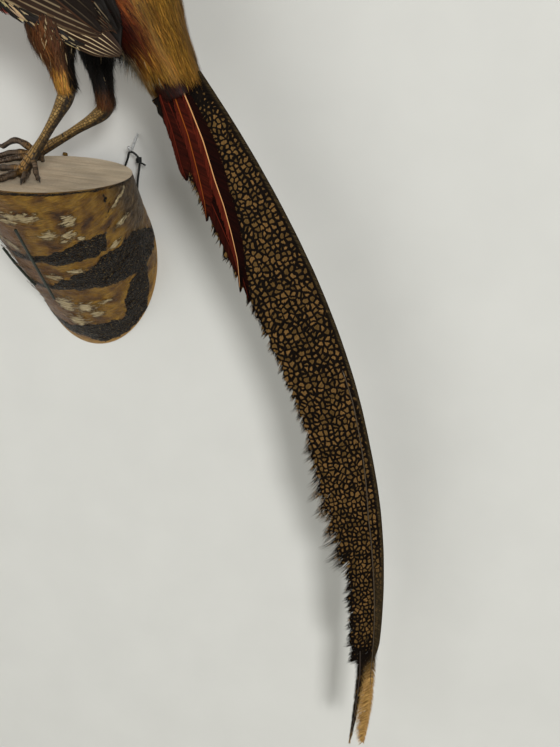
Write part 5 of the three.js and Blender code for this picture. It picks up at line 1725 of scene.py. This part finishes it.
def bark_place(angle, height, offset=0.0):
    """A point on the bark: angle round the log from its right side, height up its axis."""
    share = height / (LOG_TOP / math.sin(LOG_RISE))
    radius = LOG_RADIUS_AT_WALL + (LOG_RADIUS_AT_TOP - LOG_RADIUS_AT_WALL) * share + offset
    return (LOG_AXIS * np.asarray(height)[..., None] + LOG_RIGHT * (np.cos(angle) * radius)[..., None]
            + LOG_BACK * (np.sin(angle) * radius)[..., None])


def log_rim(angle, offset):
    """The bark line at an angle: its lowest point on the wall and its highest on the top."""
    start_point = bark_place(angle, np.zeros_like(angle), offset)
    low = start_point - LOG_AXIS * (start_point[..., 1] / LOG_AXIS[1])[..., None]
    slope = LOG_AXIS[2] - LOG_TOP_SLOPE_X * LOG_AXIS[0] - LOG_TOP_SLOPE_Y * LOG_AXIS[1]
    rise = (log_top_at(start_point[..., 0], start_point[..., 1]) - start_point[..., 2]) / slope
    high = bark_place(angle, rise, offset)
    high[..., 2] = log_top_at(high[..., 0], high[..., 1])
    return low, high


def make_log():
    """The log: bark with peeling skin and rough bands, and its two sawn faces."""
    around, steps = 420, 150
    angle = np.linspace(-PI, PI, around, endpoint=False)
    share = np.linspace(0, 1, steps)[:, None]
    low, high = log_rim(angle, 1.1 * MM * np.sin(3 * angle + 1) * 0.5)
    line = low[None] + (high - low)[None] * share[..., None]
    outward = LOG_RIGHT * np.cos(angle)[:, None] + LOG_BACK * np.sin(angle)[:, None]
    height = (line * LOG_AXIS).sum(-1) / MM
    degrees = np.broadcast_to(np.degrees(angle), height.shape)
    degrees = np.where(degrees > 90, degrees - 360, degrees)
    arc = degrees * PI / 180 * 65
    lumps, fine, wart = ripple(line, 26 * MM, 1.0), ripple(line, 5 * MM, 5.0), ripple(line, 2.3 * MM, 9.0)
    ragged = 4.0 * ripple(line, 9 * MM, 12.0) + 2.2 * wart
    band = np.zeros(height.shape)
    for top, bottom in BANDS:
        top, bottom = np.array(top, float), np.array(bottom, float)
        high_edge = drop_at(top, degrees) - height
        low_edge = height - drop_at(bottom, degrees)
        inside = blend(top[0, 0] - 14, top[0, 0], degrees) * blend(top[-1, 0] + 8, top[-1, 0], degrees)
        band = np.maximum(band, inside * blend(-3.5, 5.5, np.minimum(high_edge, low_edge) + ragged))
    streak = np.array(STREAK, float)[::-1]
    off = np.abs(degrees - np.interp(height, streak[:, 1], streak[:, 0]) + 1.5 * fine)
    crack = blend(4.0, 1.0, off) * blend(126, 132, height) * blend(186, 180, height)
    crack = crack * blend(-0.1, 0.35, ripple(line, 4 * MM, 30))
    band = np.maximum(band, crack)
    peel = np.zeros(height.shape)
    for turn, place, wide, tall in PEELS:
        spot = np.exp(-0.6 * (((degrees - turn) / wide) ** 2 + ((height - place) / tall) ** 2))
        peel = np.maximum(peel, spot)
    peel = np.clip(peel * 0.8 + 0.10 * fine, 0, 1)
    papery = blend(-82, -118, degrees) * blend(-215, -180, degrees)
    # grey-brown painted shade: a patch low on the right front from 60 mm up, and the whole upper right side
    grey = blend(-34, -12, degrees) * blend(150, 60, degrees) * blend(60, 96, height)
    grey = grey + 0.85 * blend(40, 90, degrees)
    rim = blend(10, 3, share * 200) * blend(40, -20, degrees)
    lift = (0.9 * lumps + 0.5 * fine) * MM + (band - 1.6 * crack) * (0.4 + 0.9 * np.abs(wart)) * MM
    lift = lift + blend(0.42, 0.50, peel + 0.12 * fine) * 0.5 * MM - 0.6 * MM
    lift = lift * blend(0.0, 0.03, np.minimum(share, 1 - share))
    # the skin has shrunk away below the top rim, which leaves a gap; the dark there is painted shade
    lift = lift - 1.6 * MM * blend(0.955, 0.975, share) * (0.6 + 0.6 * blend(-60, -110, degrees))
    gap = blend(0.968, 0.982, share + 0.012 * ripple(line, 14 * MM, 20.0)) * blend(1.0, 0.992, share)
    points = line + outward[None] * lift[..., None]
    points[0, :, 1] = -0.0
    # the gap's painted shade goes in as dark crust and keeps the peel out
    marks = {"band": np.clip(band + 0.62 * gap, 0, 1), "peel": peel * (1 - gap), "grey": np.clip(grey, 0, 1),
             "rim": rim, "papery": np.clip(papery, 0, 1)}
    mesher = Mesher()
    mesher.add(points, wrap=True, bark=np.stack([arc, height, 0 * arc], axis=-1),
               **{key: value[..., None] for key, value in marks.items()})
    piece = mesher.make("log_bark", bark_material("varnished_cherry_bark"))
    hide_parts("perch_log")
    # sawn faces
    mesher = Mesher()
    reach = np.linspace(1.0, 0.004, 60)
    for edge_line, is_top in ((points[-1], True), (points[0], False)):
        middle = edge_line.mean(axis=0)
        face = middle + (edge_line - middle)[None] * reach[:, None, None]
        if is_top:
            face[1:, :, 2] = log_top_at(face[1:, :, 0], face[1:, :, 1])
            saw = ripple(face * (0.35, 1.6, 1.0), 7 * MM, 2.0) * 0.35 * MM
            face[..., 2] += (saw - 0.45 * MM) * blend(1.0, 0.975, reach)[:, None] + 0.25 * MM
        else:
            face[..., 1] = 0.0
        mesher.add(face, wrap=True)
    piece = mesher.make("log_sawn_faces", end_grain_material("weathered_end_grain"))
    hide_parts("perch_log")


def make_splinters():
    """Torn papery bark strips along the left of the log, and the knob on its top edge."""
    rng = np.random.default_rng(51)
    mesher = Mesher()
    share = np.linspace(0, 1, 8)[:, None]
    across = np.linspace(-1, 1, 4)[None, :]
    for _ in range(SPLINTERS):
        turn = math.radians(rng.uniform(-152, -112))
        place = rng.uniform(20, 168) * MM
        long, wide = rng.uniform(7, 20) * MM, rng.uniform(1.2, 3.6) * MM
        angle = turn - share * long / (65 * MM) + 0 * across
        height = place + across * wide / 2 * (1 - 0.6 * share) + rng.normal(0, 0.05) * long * share
        lift = 0.3 * MM + rng.uniform(0.6, 3.0) * MM * share ** 1.6 + 0.3 * MM * across ** 2 * share
        bark = np.stack([np.degrees(angle), height / MM, 0 * height], axis=-1)
        mesher.add(bark_place(angle, height, lift), bark=bark * (1.13, 1, 1), band=0.0,
                   peel=rng.uniform(0.2, 0.6), grey=0.0, rim=0.0, papery=1.0)
    knob = np.array([-15.9, -17, 105.2]) * MM
    ball = ball_grid(14, 20)
    bumps = 1 + 0.25 * ripple(ball, 0.6, 4.0)[..., None]
    # the knob takes some of the grey-brown mottling and painted shade
    mesher.add(knob + ball * bumps * (2.6 * MM, 2.0 * MM, 1.9 * MM), wrap=True, caps=True, bark=ball * 8,
               band=0.0, peel=0.0, grey=0.3, rim=0.2, papery=0.0)
    piece = mesher.make("bark_splinters", bark_material("torn_cherry_bark"))


def wire_piece(name, node, courses, material):
    """Round drawn wire along one or more courses given in millimetres."""
    mesher = Mesher()
    for course, radius, steps in courses:
        rings, _, _ = tube_rings(np.array(course, float) * MM, np.array([radius, radius]), 16, steps)
        mesher.add(rings, wrap=True, caps=True)
    piece = mesher.make(name, material)
    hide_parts(node)


def make_hanging():
    """The steel hook, the black wire loop over it with its twist, and two wires that bind the bark."""
    steel = metal_material("bright_drawn_steel", "#DDDFDF", 0.3, 0.6, "#B4B6B6")
    black = metal_material("black_annealed_wire", "#141615", 0.45, 0.5, "#232624")
    tie = metal_material("green_black_tie_wire", "#1E2620", 0.5, 0.4, "#2E352C")
    bend = (HOOK_CROOK[0] - 0.5, HOOK_CROOK[1] - 3, HOOK_CROOK[2] + 0.2)
    middle = tuple((a + b) / 2 for a, b in zip(HOOK_WALL, HOOK_CROOK))
    shank = [(HOOK_WALL[0], -0.2, HOOK_WALL[2]), middle, HOOK_CROOK, bend, HOOK_END]
    wire_piece("steel_hook", "wall_hook", [(shank, HOOK_RADIUS, 40)], steel)
    x, y, z = HOOK_CROOK
    over = (HOOK_RADIUS + WIRE_RADIUS) / MM + 0.1
    loop = [(37.5, -11.5, 86.8), (40.4, -12, 94.5), (44.4, -12.5, 103.8), (x - 1.6, y - 0.8, z - over),
            (x + 1.6, y - 0.8, z - over), (55.5, -13, 104), (55.4, -12, 98), (53, -12, 84), (51.8, -12, 71.5)]
    helix = []
    for share in np.linspace(0, 1, 40):
        angle = share * HELIX_TURNS * 2 * PI
        helix.append((55.3 + 1.9 * math.cos(angle), -12.9 + 1.9 * math.sin(angle), 104.6 - 4.6 * share))
    helix += [(59.2, -12.6, 99.2), (61.4, -12.2, 97.8)]
    wire_piece("hanging_wire", "hanger_wire", [(loop, WIRE_RADIUS, 90), (helix, WIRE_RADIUS * 0.85, 160)],
               black)
    for name, node, start_angle, start_height, end_angle, end_height in [
            ("tie_wire_long", "tie_wire_front", -98.5, 170, -106.6, 41),
            ("tie_wire_short", "tie_wire_side", -138, 100, -120, 56)]:
        shares = np.linspace(0, 1, 8)
        angle = np.radians(start_angle + (end_angle - start_angle) * shares)
        height = (start_height + (end_height - start_height) * shares) * MM
        line = bark_place(angle, height, WIRE_RADIUS + 1.2 * MM + 0 * height)
        wire_piece(name, node, [(line / MM, WIRE_RADIUS * 1.15, 50)], tie)


# ---- stage ----

WALL_PLACE = 1.5 * MM
FLOOR_DEPTH, FLOOR_REACH = -0.78, 3.5
STAGE_SIDE, WALL_TOP = 3.0, 2.6  # metres the wall reaches to each side and up


def make_stage():
    """Camera, soft lights, the pale wall behind the mount and a pale floor below it."""
    scene = bpy.context.scene
    level = math.cos(CAMERA_TILT)
    ahead = Vector((math.sin(CAMERA_TURN) * level, math.cos(CAMERA_TURN) * level, -math.sin(CAMERA_TILT)))
    right = ahead.cross(Vector((0, 0, 1))).normalized()
    up = right.cross(ahead)
    cos, sin = math.cos(CAMERA_ROLL), math.sin(CAMERA_ROLL)
    right, up = right * cos + up * sin, up * cos - right * sin
    lens = bpy.data.cameras.new("camera")
    lens.lens = CAMERA_LENS
    lens.sensor_width = 36
    lens.clip_start, lens.clip_end = 0.01, 30
    camera = bpy.data.objects.new("camera", lens)
    camera.matrix_world = Matrix((
        (right.x, up.x, -ahead.x, CAMERA_PLACE[0]), (right.y, up.y, -ahead.y, CAMERA_PLACE[1]),
        (right.z, up.z, -ahead.z, CAMERA_PLACE[2]), (0, 0, 0, 1)))
    scene.collection.objects.link(camera)
    scene.camera = camera
    settings = scene.pheasant
    for name, place, target, size, energy in (
            ("key_light", (2.25, -4.24, 1.45), (0.1, -0.1, -0.2), 1.0, settings.key_light),
            ("fill_light", (-2.3, -4.24, 1.3), (0.0, -0.1, 0.0), 3.6, settings.fill_light)):
        light = bpy.data.lights.new(name, "AREA")
        light.size = size
        light.energy = energy
        lamp = bpy.data.objects.new(name, light)
        lamp.location = place
        lamp.rotation_euler = (Vector(target) - Vector(place)).to_track_quat("-Z", "Y").to_euler()
        scene.collection.objects.link(lamp)
    world = bpy.data.worlds.new("soft_room")
    world.use_nodes = True
    background = world.node_tree.nodes["Background"]
    background.inputs["Color"].default_value = colour("#F2F2EE")
    background.inputs["Strength"].default_value = settings.room_light
    scene.world = world
    scene.view_settings.view_transform = "Standard"
    # the wall is open just inside the log's edge, so that the sawn back stays in the light
    angle = np.linspace(-PI, PI, 60, endpoint=False)
    cut, _ = log_rim(angle, 0.0)
    inner = [(x * 0.94, WALL_PLACE, z * 0.94) for x, _, z in cut]
    reach = [min(STAGE_SIDE / abs(x), (WALL_TOP if z > 0 else -FLOOR_DEPTH) / abs(z)) for x, _, z in cut]
    outer = [(x * far, WALL_PLACE, z * far) for (x, _, z), far in zip(cut, reach)]
    count = len(inner)
    ring = [(i, count + i, count + (i + 1) % count, (i + 1) % count) for i in range(count)]
    corners = [(x * STAGE_SIDE, y, FLOOR_DEPTH) for x, y in (
        (-1, -FLOOR_REACH), (1, -FLOOR_REACH), (1, WALL_PLACE), (-1, WALL_PLACE))]
    for name, points, faces, tone in (("stage_wall", inner + outer, ring, "#CDCDC8"),
                                      ("stage_floor", corners, [(0, 1, 2, 3)], "#CFCDC6")):
        mesh = bpy.data.meshes.new(name)
        mesh.from_pydata([tuple(map(float, c)) for c in points], [], faces)
        plane = bpy.data.objects.new(name, mesh)
        scene.collection.objects.link(plane)
        mesh.materials.append(plaster_material(f"painted_{name}", tone))


# ---- add-on ----

def hue_property(name, description, code):
    return bpy.props.FloatVectorProperty(name=name, description=description, default=linear(code), size=3,
                                         min=0.0, max=1.0, subtype="COLOR")


class PheasantSettings(bpy.types.PropertyGroup):
    """Colours and light of the mounted pheasant."""

    gold: hue_property("Gold", "Silky golden crest", "#C09038")
    rump: hue_property("Rump gold", "Golden rump", "#865F22")
    amber: hue_property("Amber", "Where the golden rump turns to red", "#7A3E16")
    crimson: hue_property("Crimson", "Dark red of the coverts, flanks and scapulars", "#4A180D")
    scarlet: hue_property("Scarlet", "Breast and belly", "#A8371C")
    green: hue_property("Green", "Metallic upper back", "#2C5A33")
    tan: hue_property("Tan", "Face and throat", "#A86F3A")
    rufous: hue_property("Rufous", "Front of the thighs", "#6B4122")
    ochre: hue_property("Ochre", "Patch above the near hock", "#A87A34")
    black: hue_property("Black", "Thighs and underlay", "#120E0B")
    orange: hue_property("Orange", "Cape", "#D9832A")
    cream: hue_property("Cream", "Edges of the primaries", "#BDA57C")
    straw: hue_property("Straw", "Shafts of the red coverts", "#BE8C5C")
    blue: hue_property("Blue", "Tertials", "#1C2A5E")
    chestnut: hue_property("Chestnut", "Wing coverts", "#7A4526")
    key_light: bpy.props.FloatProperty(name="Key light", description="Power of the light from the right",
                                       default=152.0, min=0.0, unit="POWER")
    fill_light: bpy.props.FloatProperty(name="Fill light", description="Power of the light from the left",
                                        default=66.0, min=0.0, unit="POWER")
    room_light: bpy.props.FloatProperty(name="Room light", default=0.32, min=0.0,
                                        description="Strength of the even light of the room")


class PHEASANT_OT_stage(bpy.types.Operator):
    """Make the camera, the lights, the wall and the floor"""

    bl_idname = "pheasant.stage"
    bl_label = "Stage"

    def execute(self, context):
        make_stage()
        return {"FINISHED"}


class PHEASANT_OT_log(bpy.types.Operator):
    """Make the log's bark and sawn faces"""

    bl_idname = "pheasant.log"
    bl_label = "Log"

    def execute(self, context):
        make_log()
        make_splinters()
        return {"FINISHED"}


class PHEASANT_OT_hanging(bpy.types.Operator):
    """Make the hook and the wires"""

    bl_idname = "pheasant.hanging"
    bl_label = "Hook and wires"

    def execute(self, context):
        make_hanging()
        return {"FINISHED"}


class PHEASANT_OT_legs(bpy.types.Operator):
    """Make the scaled legs and feet with their claws"""

    bl_idname = "pheasant.legs"
    bl_label = "Legs"

    def execute(self, context):
        for name in SIDES:
            make_leg(name)
            make_claws(name)
        return {"FINISHED"}


class PHEASANT_OT_head(bpy.types.Operator):
    """Make the bill, the glass eyes and the lids"""

    bl_idname = "pheasant.head"
    bl_label = "Bill and eyes"

    def execute(self, context):
        make_bill(True)
        make_bill(False)
        for name in SIDES:
            make_eye(name)
        return {"FINISHED"}


class PHEASANT_OT_skin(bpy.types.Operator):
    """Make the one skin under the coat"""

    bl_idname = "pheasant.skin"
    bl_label = "Skin"

    def execute(self, context):
        make_skin(hues_of(context))
        return {"FINISHED"}


class PHEASANT_OT_coat(bpy.types.Operator):
    """Lay the body's feathers, from the face to the thighs"""

    bl_idname = "pheasant.coat"
    bl_label = "Body feathers"

    def execute(self, context):
        hues = hues_of(context)
        for make in (make_rump_coat, make_breast_coat, make_back_coat, make_neck_coat, make_face_coat):
            make(hues)
        for name in SIDES:
            make_thigh(name, hues)
        return {"FINISHED"}


class PHEASANT_OT_cape(bpy.types.Operator):
    """Lay the barred cape and the silky crest"""

    bl_idname = "pheasant.cape"
    bl_label = "Cape and crest"

    def execute(self, context):
        hues = hues_of(context)
        make_cape(hues)
        make_crest(hues)
        return {"FINISHED"}


class PHEASANT_OT_wings(bpy.types.Operator):
    """Lay both folded wings"""

    bl_idname = "pheasant.wings"
    bl_label = "Wings"

    def execute(self, context):
        hues = hues_of(context)
        for name in SIDES:
            make_wing(name, hues)
        return {"FINISHED"}


class PHEASANT_OT_tail(bpy.types.Operator):
    """Lay the tail's netted vanes, side feathers and red coverts"""

    bl_idname = "pheasant.tail"
    bl_label = "Tail"

    def execute(self, context):
        hues = hues_of(context)
        for name in SIDES:
            make_tail(name)
            make_side_tail(name)
            make_coverts(name, hues)
        make_tail_quills()
        return {"FINISHED"}


OPERATORS = (PHEASANT_OT_stage, PHEASANT_OT_log, PHEASANT_OT_hanging, PHEASANT_OT_legs, PHEASANT_OT_head,
             PHEASANT_OT_skin, PHEASANT_OT_coat, PHEASANT_OT_cape, PHEASANT_OT_wings, PHEASANT_OT_tail)


class PHEASANT_PT_panel(bpy.types.Panel):
    """Lists the pieces and their settings."""

    bl_idname = "PHEASANT_PT_panel"
    bl_label = "Mounted pheasant"
    bl_space_type = "VIEW_3D"
    bl_region_type = "UI"
    bl_category = "Pheasant"

    def draw(self, context):
        for operator in OPERATORS:
            self.layout.operator(operator.bl_idname)
        for key in PheasantSettings.__annotations__:
            self.layout.prop(context.scene.pheasant, key)


CLASSES = (PheasantSettings, *OPERATORS, PHEASANT_PT_panel)


def register():
    for cls in CLASSES:
        bpy.utils.register_class(cls)
    bpy.types.Scene.pheasant = bpy.props.PointerProperty(type=PheasantSettings)


def unregister():
    del bpy.types.Scene.pheasant
    for cls in reversed(CLASSES):
        bpy.utils.unregister_class(cls)


def main():
    register()
    for operator in OPERATORS:
        step = operator.bl_idname.split(".")[1]
        getattr(bpy.ops.pheasant, step)()


if __name__ == "__main__":
    main()
